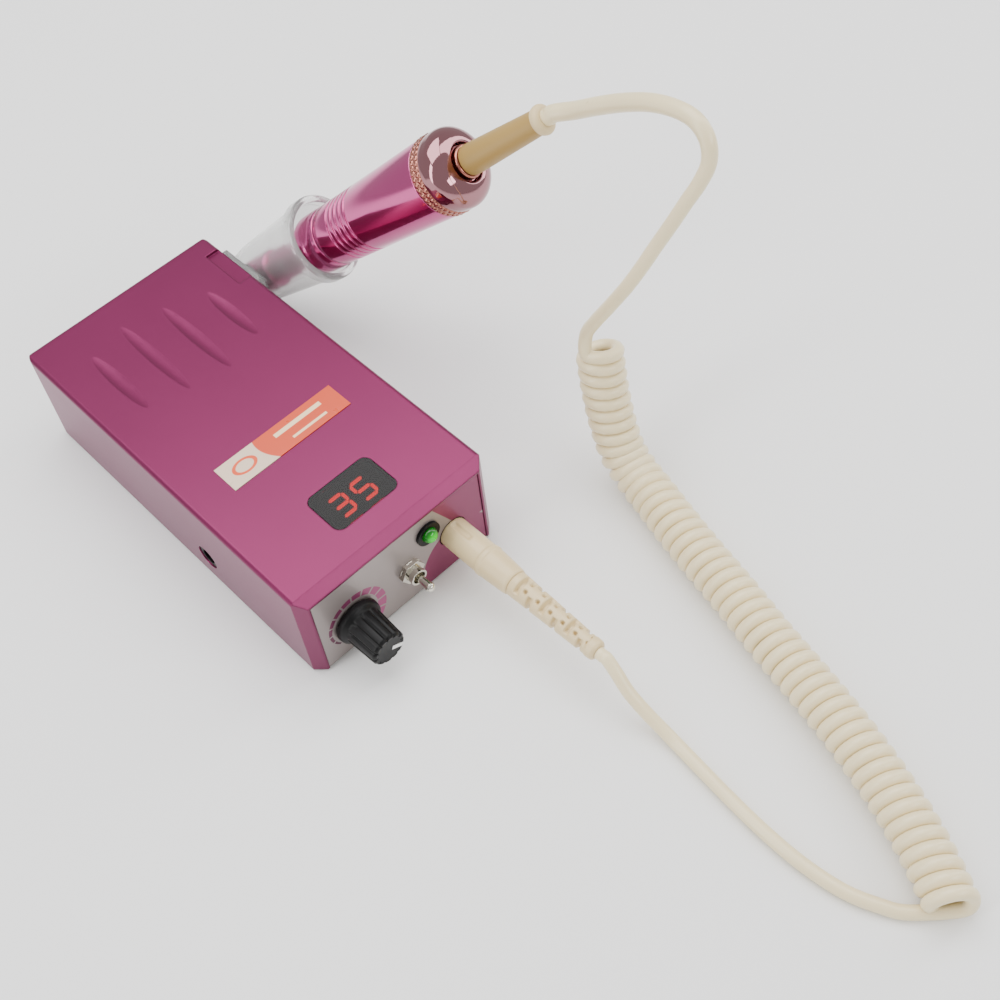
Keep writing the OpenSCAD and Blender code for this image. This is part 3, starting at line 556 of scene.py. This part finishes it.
# %% Band of beads between the barrel and the rear cap
BAND_PROFILE = [(110.5, 9.86), (110.5, 13.3), (114.5, 13.3), (114.5, 9.86)]


def beads(along, radius, turn):
    """Two rows of small round beads."""
    if radius < 13 * MM:
        return 0
    place = (along - 110.6 * MM) / (1.9 * MM)
    row = math.floor(place)
    if row not in (0, 1):
        return 0
    up = 2 * (place - row) - 1
    across = turn / (2 * math.pi) * 44 + 0.5 * row
    sideways = 2 * (across - math.floor(across)) - 1
    return 0.42 * MM * math.sqrt(max(0, 1 - 1.15 * (up * up + sideways * sideways)))


band = turned(
    "beaded_band",
    HAND_LINE,
    finely(scaled(BAND_PROFILE), 0.14 * MM),
    HAND,
    around=528,
    ripple=beads,
)
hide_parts("vent_band")
print("band faces:", len(band.data.polygons))

# %% Rear cap, its gland and the cord's sleeve


def dome(radius, low, high, flat, steps=14):
    """The quarter circle from a cap's side to its flat end."""
    size = high - low
    return [
        (
            low + size * math.sin(math.pi / 2 * k / steps),
            flat + (radius - flat) * math.cos(math.pi / 2 * k / steps),
        )
        for k in range(steps + 1)
    ]


CAP_PROFILE = (
    [(114.55, 8.9), (114.55, 13.4), (115.9, 13.5)]
    + dome(13.5, 117.4, 123, 7.1)[1:]
    + [(122.8, 6.7), (121.1, 6.1), (121, 4.95), (117.5, 4.95), (117.5, 8.9)]
)
cap = turned("turned_rear_cap", HAND_LINE, rounded(scaled(CAP_PROFILE), 0.25 * MM), HAND, 160)
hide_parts("rear_cap")
GLAND_PROFILE = [
    (117.5, 0), (117.5, 4.88), (121.1, 4.88), (121.1, 5.65), (123.5, 5.65), (123.95, 5.3),
    (123.95, 0),
]  # fmt: skip
gland = turned("turned_gland", HAND_LINE, rounded(scaled(GLAND_PROFILE), 0.3 * MM), HAND, 96)
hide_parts("rear_gland")
RELIEF_PROFILE = [
    (124, 0), (124, 5), (127, 5.05), (155, 4.0), (155.2, 4.5), (156.5, 4.9), (157.6, 4.55),
    (158, 3.7), (158, 0),
]  # fmt: skip
relief = turned(
    "cord_sleeve",
    HAND_LINE,
    finely(rounded(scaled(RELIEF_PROFILE), 0.6 * MM), 1.5 * MM),
    HAND,
    96,
)
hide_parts("handpiece_relief")
print("rear pieces:", cap.name, gland.name, relief.name)

# %% [markdown]
# ## The clear cup
# The cup is one moulding of clear plastic: a tapered cup with a thick rolled rim, and a plate that
# stands against the box's side. Clear plastic shows both of its faces, so the cup is modelled with a
# real wall, and light bends through it as it does through the real one.

# %% The cup
CUP_LINE = Line(
    HAND_LINE.start + Vector((0, math.cos(TILT), math.sin(TILT))) * 1.2 * MM,
    HAND_LINE.along,
    (0, 0, 1),
)
CUP_OUTER = [(-4.6, 0), (-4.6, 6.2), (-3, 7.35), (2, 9.45), (12, 11.35), (45.1, 14.1)]
CUP_RIM = [(45.3, 15.4), (49.9, 15.4), (49.9, 12.8)]
CUP_INNER = [(45, 12.65), (12, 9.9), (2, 7.95), (-3, 5.95), (-3.1, 4.9), (-3.1, 0)]
cup = turned(
    "clear_cup",
    CUP_LINE,
    rounded(scaled(CUP_OUTER + CUP_RIM + CUP_INNER), 1.1 * MM, 6),
    BOX,
    around=160,
)
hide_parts("handpiece_cup")

# %% Its plate


def prism(name, outline, low, high, body, soft):
    """An outline across X and Z, stretched along Y, with its edges softened."""
    count = len(outline)
    points = [(x * MM, y * MM, z * MM) for y in (low, high) for x, z in outline]
    faces = [tuple(range(count)), tuple(reversed(range(count, 2 * count)))]
    for k in range(count):
        beside = (k + 1) % count
        faces.append((k, k + count, beside + count, beside))
    piece = piece_from(name, points, faces, body, smooth=False)
    bevel = piece.modifiers.new("soft edges", "BEVEL")
    bevel.width = soft * MM
    bevel.segments = 3
    bevel.harden_normals = True
    piece.data.polygons.foreach_set("use_smooth", [True] * len(piece.data.polygons))
    return piece


PLATE_OUTLINE = [(38.08, 14), (40.4, 14), (40.4, 36.4), (38.08, 36.4)]
plate = prism("clear_plate", PLATE_OUTLINE, 44.6, 63.4, BOX, 0.4)
web = prism("clear_web", [(39.2, 18.2), (45.2, 19.5), (45.2, 29), (39.2, 29.8)], 48.4, 59, BOX, 0.6)
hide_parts("cup_plate")
print("plate and web made")

# %% [markdown]
# ## The speed knob
# The knob is a plastic cap with grooves for the fingertips and a skirt below. The grooves are
# pushed into a turned shape, deeper towards the top, so that they run out at the skirt.

# %% Speed knob
KNOB_LINE = Line(Vector((-20.5, -73.3, 13.3)) * MM, (0, -1, 0), (0, 0, 1))
KNOB_PROFILE = [
    (0, 5.5), (0, 8.2), (2.2, 7.95), (3.2, 6.8), (3.6, 6.7), (14.9, 6.2), (15.6, 5.4), (15.45, 4.6),
    (15.3, 0),
]  # fmt: skip
KNOB_SHELL = [(12.4, 0), (12.4, 3), (7.4, 3), (7.4, 5.5)]


def finger_grooves(along, radius, turn):
    if along < 3.3 * MM or radius < 5.2 * MM:
        return 0
    depth = 0.62 * min(1, (along - 3.3 * MM) / (1.6 * MM))
    wave = (0.5 + 0.5 * math.cos(12 * turn)) ** 5
    return -depth * MM * wave


knob_skin = finely(rounded(scaled(KNOB_PROFILE), 0.45 * MM), 0.5 * MM)
knob_inside = scaled(KNOB_SHELL)
knob = turned(
    "grooved_knob", KNOB_LINE, knob_inside + knob_skin, "speed_dial", 240, finger_grooves
)
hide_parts("speed_knob")
print("knob faces:", len(knob.data.polygons))

# %% Pointer line on the knob's face
POINTER_TURN = -math.radians(90 + 25)


def knob_point(out, across, along):
    across_side = KNOB_LINE.at(along, across, POINTER_TURN + math.pi / 2) - KNOB_LINE.at(along)
    return KNOB_LINE.at(along, out, POINTER_TURN) + across_side


def pointer_bar():
    points, faces = [], []
    rows = [(1.2, 15.36), (4.4, 15.5), (5.2, 15.58), (5.75, 15.2), (6.05, 14.2)]
    for out, along in rows:
        for across, lift in ((-0.75, -0.3), (-0.7, 0.06), (0.7, 0.06), (0.75, -0.3)):
            points.append(knob_point(out * MM, across * MM, (along + lift) * MM))
    for r in range(len(rows) - 1):
        for k in range(3):
            a = r * 4 + k
            faces.append((a, a + 1, a + 5, a + 4))
    return piece_from("pointer_line", points, faces, "speed_dial")


pointer = pointer_bar()
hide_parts("knob_pointer")

# %% [markdown]
# ## Finishes
# A finish is a small tree of shader nodes. Writing its maths as plain Python expressions keeps it
# readable, so one class stands for a value that changes over a surface, and another for a finish
# that holds the nodes.

# %% Values that change over a surface


class Varying:
    """The output of a shader node. Arithmetic on it adds Math nodes."""

    def __init__(self, finish, socket):
        self.finish = finish
        self.socket = socket

    def _math(self, operation, first, second):
        return self.finish.add("ShaderNodeMath", {"operation": operation}, {0: first, 1: second})

    def __add__(self, other):
        return self._math("ADD", self, other)

    __radd__ = __add__

    def __sub__(self, other):
        return self._math("SUBTRACT", self, other)

    def __rsub__(self, other):
        return self._math("SUBTRACT", other, self)

    def __mul__(self, other):
        return self._math("MULTIPLY", self, other)

    __rmul__ = __mul__

    def __truediv__(self, other):
        return self._math("DIVIDE", self, other)

    def __rtruediv__(self, other):
        return self._math("DIVIDE", other, self)

    def __mod__(self, other):
        return self._math("FLOORED_MODULO", self, other)

    def __pow__(self, other):
        return self._math("POWER", self, other)

    def __lt__(self, other):
        return self._math("LESS_THAN", self, other)

    def __gt__(self, other):
        return self._math("GREATER_THAN", self, other)

    def __abs__(self):
        return self._math("ABSOLUTE", self, 0)


# %% A finish and its nodes


class Finish:
    def __init__(self, name, **sockets):
        self.material = bpy.data.materials.new(name)
        self.material.use_nodes = True
        self.tree = self.material.node_tree
        self.tree.nodes.clear()
        self.shader = self.tree.nodes.new("ShaderNodeBsdfPrincipled")
        out = self.tree.nodes.new("ShaderNodeOutputMaterial")
        self.tree.links.new(self.shader.outputs[0], out.inputs[0])
        for socket, value in sockets.items():
            self.set(socket.replace("_", " "), value)

    def _fill(self, socket, value):
        if isinstance(value, Varying):
            self.tree.links.new(value.socket, socket)
        elif hasattr(value, "__len__") and len(value) == 3 and socket.type == "RGBA":
            socket.default_value = (*value, 1)
        else:
            socket.default_value = value

    def set(self, socket, value):
        self._fill(self.shader.inputs[socket], value)
        return self

    def add(self, kind, settings=None, sockets=None, output=0):
        node = self.tree.nodes.new(kind)
        for key, value in (settings or {}).items():
            if key == "stops":
                while len(node.color_ramp.elements) < len(value):
                    node.color_ramp.elements.new(0.5)
                for element, (at, colour) in zip(node.color_ramp.elements, value):
                    element.position = at
                    element.color = (*colour, 1)
            else:
                setattr(node, key, value)
        for key, value in (sockets or {}).items():
            self._fill(node.inputs[key], value)
        return Varying(self, node.outputs[output])

    def place(self):
        return self.add("ShaderNodeTexCoord", output="Object")

    def xyz(self):
        split = self.tree.nodes.new("ShaderNodeSeparateXYZ")
        self.tree.links.new(self.place().socket, split.inputs[0])
        return [Varying(self, s) * 1000 for s in split.outputs]

    def noise(self, scale, detail=3.0, stretch=(1, 1, 1)):
        where = self.add(
            "ShaderNodeVectorMath", {"operation": "MULTIPLY"}, {0: self.place(), 1: stretch}
        )
        return self.add(
            "ShaderNodeTexNoise", {}, {"Vector": where, "Scale": scale, "Detail": detail}
        )

    def mix(self, share, a, b):
        return self.add("ShaderNodeMix", {"data_type": "RGBA"}, {0: share, 6: a, 7: b}, output=2)

    def step(self, value, low, high):
        return self.add(
            "ShaderNodeMapRange",
            {"interpolation_type": "SMOOTHSTEP"},
            {0: value, 1: low, 2: high, 3: 0.0, 4: 1.0},
        )

    def soft_edges(self, radius, height=None, depth=0.00002):
        """Rounds sharp edges in the shading, and adds a fine relief where a height is given."""
        normal = self.add("ShaderNodeBevel", {"samples": 6}, {"Radius": radius})
        return self.relief(height, depth, normal) if height else self.set("Normal", normal)

    def relief(self, height, depth, normal=None):
        sockets = {"Strength": 1.0, "Distance": depth, "Height": height}
        if normal:
            sockets["Normal"] = normal
        return self.set("Normal", self.add("ShaderNodeBump", {}, sockets))


def srgb(*levels):
    """A colour as it looks on a screen, from 0 to 255, as the linear light that shaders use."""
    return tuple((v / 255 / 12.92) if v < 10 else ((v / 255 + 0.055) / 1.055) ** 2.4 for v in levels)


def shades(finish, colour, share, scale, detail=4.0, stretch=(1, 1, 1)):
    """A colour that drifts a little lighter and darker over the surface."""
    dark = tuple(c * (1 - share) for c in colour)
    light = tuple(min(1, c * (1 + share)) for c in colour)
    return finish.mix(finish.noise(scale, detail, stretch), dark, light)


# %% [markdown]
# ## The box's paint
# The box is sprayed with a satin metallic paint. Fine flakes make it sparkle a little, and fingers
# leave faint smudges that change only the gloss. A flat picture of paint could be wrapped round it,
# but noise fits any size of part.

# %% Satin pink paint


def pink_paint():
    paint = Finish("satin pink paint", Metallic=0.75, Coat_Weight=0.08, Coat_Roughness=0.25)
    paint.set("Base Color", shades(paint, srgb(112, 32, 74), 0.07, 22))
    flakes = paint.noise(5200, 1.0)
    smudges = paint.noise(38, 4.0, (1, 0.6, 1))
    paint.set("Roughness", 0.30 + 0.07 * smudges + 0.05 * flakes)
    paint.soft_edges(0.0006, flakes, 0.000006)
    return paint


# %% [markdown]
# ## The handpiece's metals
# The barrel is polished and dyed pink, the rear cap is polished like a mirror, and the gland has a
# copper tint. Polishing leaves hair-thin lines round each piece. A noise stretched round the
# handpiece's line would need its own coordinates, so a very fine plain noise stands for them.

# %% Polished metals


def metal(name, colour, roughness, streak=0.05, scale=900):
    made = Finish(name, Metallic=1.0)
    lines = made.noise(scale, 3.0)
    made.set("Base Color", shades(made, colour, 0.06, 60))
    made.set("Roughness", roughness + streak * lines)
    return made


def pink_anodised():
    made = metal("anodised pink metal", srgb(196, 92, 144), 0.08)
    return made.relief(made.noise(1600, 2.0), 0.000002)


def pink_bright():
    return metal("mirror pink metal", srgb(152, 108, 114), 0.04, 0.03)


def copper_metal():
    return metal("copper tinted metal", srgb(168, 108, 96), 0.2, 0.06)


def bright_steel():
    made = metal("bright plated steel", srgb(212, 208, 196), 0.12, 0.10, 700)
    return made.soft_edges(0.0002)


def brushed_steel():
    made = metal("ground steel", srgb(172, 172, 176), 0.28, 0.15, 400)
    return made.soft_edges(0.0002, made.noise(500, 2.0, (1, 12, 1)), 0.000004)


def dark_magnet():
    return metal("dark magnet", srgb(86, 86, 92), 0.42, 0.15, 300).soft_edges(0.0002)


def copper():
    return metal("copper", srgb(196, 118, 82), 0.25, 0.10, 500).soft_edges(0.0002)


def gold():
    return metal("gold plate", srgb(222, 188, 110), 0.18, 0.08, 500).soft_edges(0.0001)


# %% [markdown]
# ## Plastics and rubber
# Moulded plastic is never one flat colour: it has a fine grain from its mould, and its gloss
# changes where it is handled. One helper makes them all from a colour, a gloss and a grain size.

# %% Plastics


def plastic(name, colour, roughness, grain=1400, depth=0.000006, drift=0.04, **sockets):
    made = Finish(name, **sockets)
    made.set("Base Color", shades(made, colour, drift, 70))
    made.set("Roughness", roughness + 0.10 * made.noise(120, 3.0))
    made.soft_edges(0.0003, made.noise(grain, 2.0), depth)
    return made


def cord_cream():
    made = plastic("cord jacket", srgb(232, 216, 174), 0.25, 900, 0.00001, 0.04)
    return made.set("Coat Weight", 0.15).set("Subsurface Weight", 0.06).set(
        "Subsurface Radius", (0.002, 0.0015, 0.001)
    )


def plug_cream():
    made = plastic("plug moulding", srgb(214, 192, 146), 0.30, 800, 0.00001, 0.04)
    return made.set("Coat Weight", 0.1)


def relief_khaki():
    made = plastic("soft khaki sleeve", srgb(168, 138, 78), 0.42, 700, 0.000012, 0.05)
    x, y, z = made.xyz()
    along = 0.358368 * x - 0.682778 * y + 0.6367 * z + 23.42
    bead = made.step(along, RELIEF_END / MM - 3.2, RELIEF_END / MM - 2.9)
    khaki = shades(made, srgb(158, 128, 68), 0.05, 70)
    return made.set("Base Color", made.mix(bead, khaki, srgb(214, 192, 146)))


def black_plastic():
    return plastic("black moulding", srgb(6, 6, 7), 0.34, 900, 0.00001, 0.10, Specular_IOR_Level=0.2)


def grey_plastic():
    return plastic("grey moulding", srgb(120, 120, 122), 0.45)


def white_plastic():
    return plastic("cream moulding", srgb(226, 220, 204), 0.40)


def rubber():
    return plastic("black rubber", srgb(26, 26, 26), 0.70, 500, 0.00003, 0.15)


def carbon():
    return plastic("carbon", srgb(40, 40, 42), 0.60, 600, 0.00002, 0.2)


def knob_line():
    return plastic("white paint", srgb(236, 236, 236), 0.45, 900, 0.00001, 0.04)


def cell_wrap():
    return plastic("blue shrink wrap", srgb(40, 96, 170), 0.25, 300, 0.00002, 0.1)


def board_green():
    made = plastic("green circuit board", srgb(28, 110, 56), 0.35, 300, 0.00001, 0.1)
    x, y, z = made.xyz()
    tracks = made.step(abs(((x + 0.35 * y) % 3) - 1.5), 0.28, 0.16)
    made.set("Base Color", made.mix(tracks, srgb(24, 104, 50), srgb(66, 150, 80)))
    return made


# %% [markdown]
# ## Clear and lit pieces
# The cup is clear plastic that bends light. The display's window is smoked, so its lit bars show
# through black. The green lamp is a lens that glows from inside.

# %% Clear plastic, window, digits and lamp


def clear_plastic():
    made = Finish("clear plastic", Transmission_Weight=0.86, IOR=1.4)
    made.set("Base Color", shades(made, (0.9, 0.91, 0.9), 0.02, 60))
    made.set("Roughness", 0.1 + 0.08 * made.noise(160, 3.0))
    return made


def smoked_window():
    made = Finish("smoked window", Transmission_Weight=1.0, IOR=1.25)
    made.set("Base Color", shades(made, (0.05, 0.03, 0.03), 0.05, 60))
    return made.set("Roughness", 0.0005 * made.noise(90, 3.0))


def red_light():
    made = Finish("lit red bars", Roughness=0.4, Emission_Strength=20.0)
    made.set("Base Color", (0.5, 0.0, 0.0))
    made.set("Emission Color", shades(made, (1.0, 0.0, 0.004), 0.1, 900))
    return made


def green_light():
    made = Finish("green lens", Roughness=0.12, Emission_Strength=0.5, IOR=1.5)
    x, y, z = made.xyz()
    core = made.step((x - 11.4) ** 2 + (z - 25.8) ** 2, 6.5, 0.5)
    made.set("Base Color", made.mix(core, srgb(0, 70, 4), srgb(2, 170, 10)))
    made.set("Emission Color", made.mix(core, srgb(0, 110, 4), srgb(2, 210, 10)))
    return made


# %% [markdown]
# ## The front panel's print
# The panel is silver with mauve print: a scale of wedges that grows round the knob, part of a large
# circle round the plug, and a corner cut off by a slanted line. Each mark is a formula of distance
# and angle, so it needs no picture and stays sharp at any size.

# %% Printed panel
KNOB_X, KNOB_Z = -20.5, 13.3
SCALE_START, SCALE_SWEEP, WEDGES = math.radians(225), math.radians(270), 12


def silver_print():
    made = Finish("printed silver panel", Metallic=0.55, Coat_Weight=0.1)
    x, y, z = made.xyz()
    kx, kz = x - KNOB_X, z - KNOB_Z
    away = (kx**2 + kz**2) ** 0.5
    angle = made.add("ShaderNodeMath", {"operation": "ARCTAN2"}, {0: kz, 1: kx})
    round_scale = ((SCALE_START - angle) % (2 * math.pi)) / SCALE_SWEEP
    wedge = made.step((round_scale * WEDGES) % 1, 0.12, 0.2) * (round_scale < 1)
    outer = 9.8 + 3.2 * round_scale
    scale_marks = wedge * made.step(away, 9.0, 9.3) * (away < outer)
    circle = made.step(((x - 22) ** 2 + (z - 4) ** 2) ** 0.5, 15.3, 14.9)
    corner = made.step(x + 0.55 * (z - 30), 16.7, 17.1) * (z > 15)
    mauve = made.mix(round_scale, srgb(70, 22, 48), srgb(170, 80, 126))
    silver = shades(made, srgb(150, 140, 138), 0.05, 50)
    printed = made.mix(scale_marks, silver, mauve)
    area = made.step(circle + corner, 0.0, 1.0)
    made.set("Base Color", made.mix(area, printed, srgb(124, 40, 82)))
    made.set("Roughness", 0.34 + 0.1 * made.noise(200, 2.0))
    made.soft_edges(0.0003, made.noise(3000, 1.0), 0.000004)
    return made


# %% [markdown]
# ## The label
# The label is a printed sticker: a cream field with a plain orange oval on the left, and an orange
# field with two plain cream lines on the right. It carries no words.

# %% Printed label


def label_print():
    made = Finish("printed label", Coat_Weight=0.5, Coat_Roughness=0.1)
    x, y, z = made.xyz()
    border = made.step(x + 8.5 - 0.05 * (y + 19.6) ** 2 + 0.25 * (y + 19.6), -0.15, 0.15)
    oval_at = ((x + 15.5) / 4.6) ** 2 + ((y + 19.6) / 3.0) ** 2
    oval = made.step(abs(oval_at - 0.75), 0.3, 0.2) * (1 - border)
    top_line = made.step(abs(y + 17.6), 0.95, 0.75) * made.step(abs(x - 7.5), 9.5, 9.3)
    low_line = made.step(abs(y + 22.2), 0.6, 0.4) * made.step(abs(x - 9), 7.0, 6.8)
    orange = shades(made, srgb(205, 62, 0), 0.05, 90)
    field = made.mix(border, srgb(216, 192, 168), orange)
    with_oval = made.mix(oval, field, srgb(216, 70, 0))
    made.set("Base Color", made.mix((top_line + low_line) * border, with_oval, srgb(246, 214, 170)))
    made.set("Roughness", 0.25 + 0.08 * made.noise(300, 2.0))
    return made


# %% [markdown]
# ## Put the finishes on
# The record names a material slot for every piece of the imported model, so each finish is made once
# and goes to every piece of its slot. The new pieces take theirs by name.

# %% Give every piece its finish
FINISHES = {
    made.__name__: made().material
    for made in (
        pink_paint, pink_anodised, pink_bright, copper_metal, silver_print, black_plastic,
        smoked_window, red_light, green_light, label_print, board_green, cell_wrap,
        grey_plastic, white_plastic, knob_line, bright_steel, brushed_steel, dark_magnet,
        carbon, copper, gold, rubber, clear_plastic, cord_cream, plug_cream, relief_khaki,
    )
}  # fmt: skip
NEW_PIECES = {
    cord: "cord_cream",
    plug_body: "plug_cream",
    plug_sleeve: "plug_cream",
    nose: "pink_anodised",
    lock: "pink_anodised",
    barrel: "pink_anodised",
    band: "copper_metal",
    cap: "pink_bright",
    gland: "copper_metal",
    relief: "relief_khaki",
    cup: "clear_plastic",
    plate: "clear_plastic",
    web: "clear_plastic",
    knob: "black_plastic",
    pointer: "knob_line",
}
for part in frame["record"]["subparts"]:
    mesh = frame["nodes"][part["node"]].data
    mesh.materials.clear()
    mesh.materials.append(FINISHES[part["material_slot"]])
for piece, name in NEW_PIECES.items():
    piece.data.materials.append(FINISHES[name])
print("finishes:", len(FINISHES))

# %% [markdown]
# ## The studio
# The floor is one large pale plane, which is enough because the camera looks down on it.
# One broad light from above gives soft shadows, and strips at the front and the sides draw the
# bright bands along the polished metal. Plain white all round would leave the metal looking like paint.

# %% Floor
FLOOR_Z = -1.0 * MM


def make_floor():
    reach = 3.0
    mesh = bpy.data.meshes.new("floor")
    corners = [(-reach, -reach), (reach, -reach), (reach, reach), (-reach, reach)]
    mesh.from_pydata([(x, y, FLOOR_Z) for x, y in corners], [], [(0, 1, 2, 3)])
    floor = bpy.data.objects.new("floor", mesh)
    bpy.context.scene.collection.objects.link(floor)
    made = Finish("pale floor", Roughness=0.9)
    made.set("Base Color", shades(made, (0.86, 0.86, 0.86), 0.01, 6))
    mesh.materials.append(made.material)
    floor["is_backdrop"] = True
    return floor


make_floor()

# %% Lights


def soft_box(name, place, target, size, power, colour=(1, 1, 1)):
    data = bpy.data.lights.new(name, "AREA")
    data.shape = "RECTANGLE"
    data.size, data.size_y = size
    data.energy = power
    data.color = colour
    lamp = bpy.data.objects.new(name, data)
    bpy.context.scene.collection.objects.link(lamp)
    lamp.location = place
    lamp.rotation_euler = (Vector(target) - Vector(place)).to_track_quat("-Z", "Y").to_euler()
    return lamp


CENTRE = (0.02, -0.05, 0.03)
soft_box("top light", (0.1, 0.25, 1.1), CENTRE, (1.2, 0.9), 17)
soft_box("front strip", (0.32, -0.92, 0.6), CENTRE, (0.7, 0.22), 4)
soft_box("left strip", (-0.9, 0.1, 0.55), CENTRE, (0.25, 1.2), 7)
soft_box("right strip", (0.95, -0.2, 0.6), CENTRE, (0.3, 1.2), 5)
world = bpy.data.worlds.new("studio air")
bpy.context.scene.world = world
world.use_nodes = True
world.node_tree.nodes["Background"].inputs[0].default_value = (1.0, 0.99, 0.98, 1)
world.node_tree.nodes["Background"].inputs[1].default_value = 0.75

# %% [markdown]
# ## Sizes
# The finished model has to stay inside the box of the imported one. The boxes of the imported model
# and of the finished one are both written down, so that they can be compared.

# %% Write both boxes and finish
VISUAL_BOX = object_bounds()
for axis, (a, b, c, d) in zip("XYZ", zip(*CAD_BOX, *VISUAL_BOX)):
    print(axis, "packed", round(a, 4), round(b, 4), "finished", round(c, 4), round(d, 4))
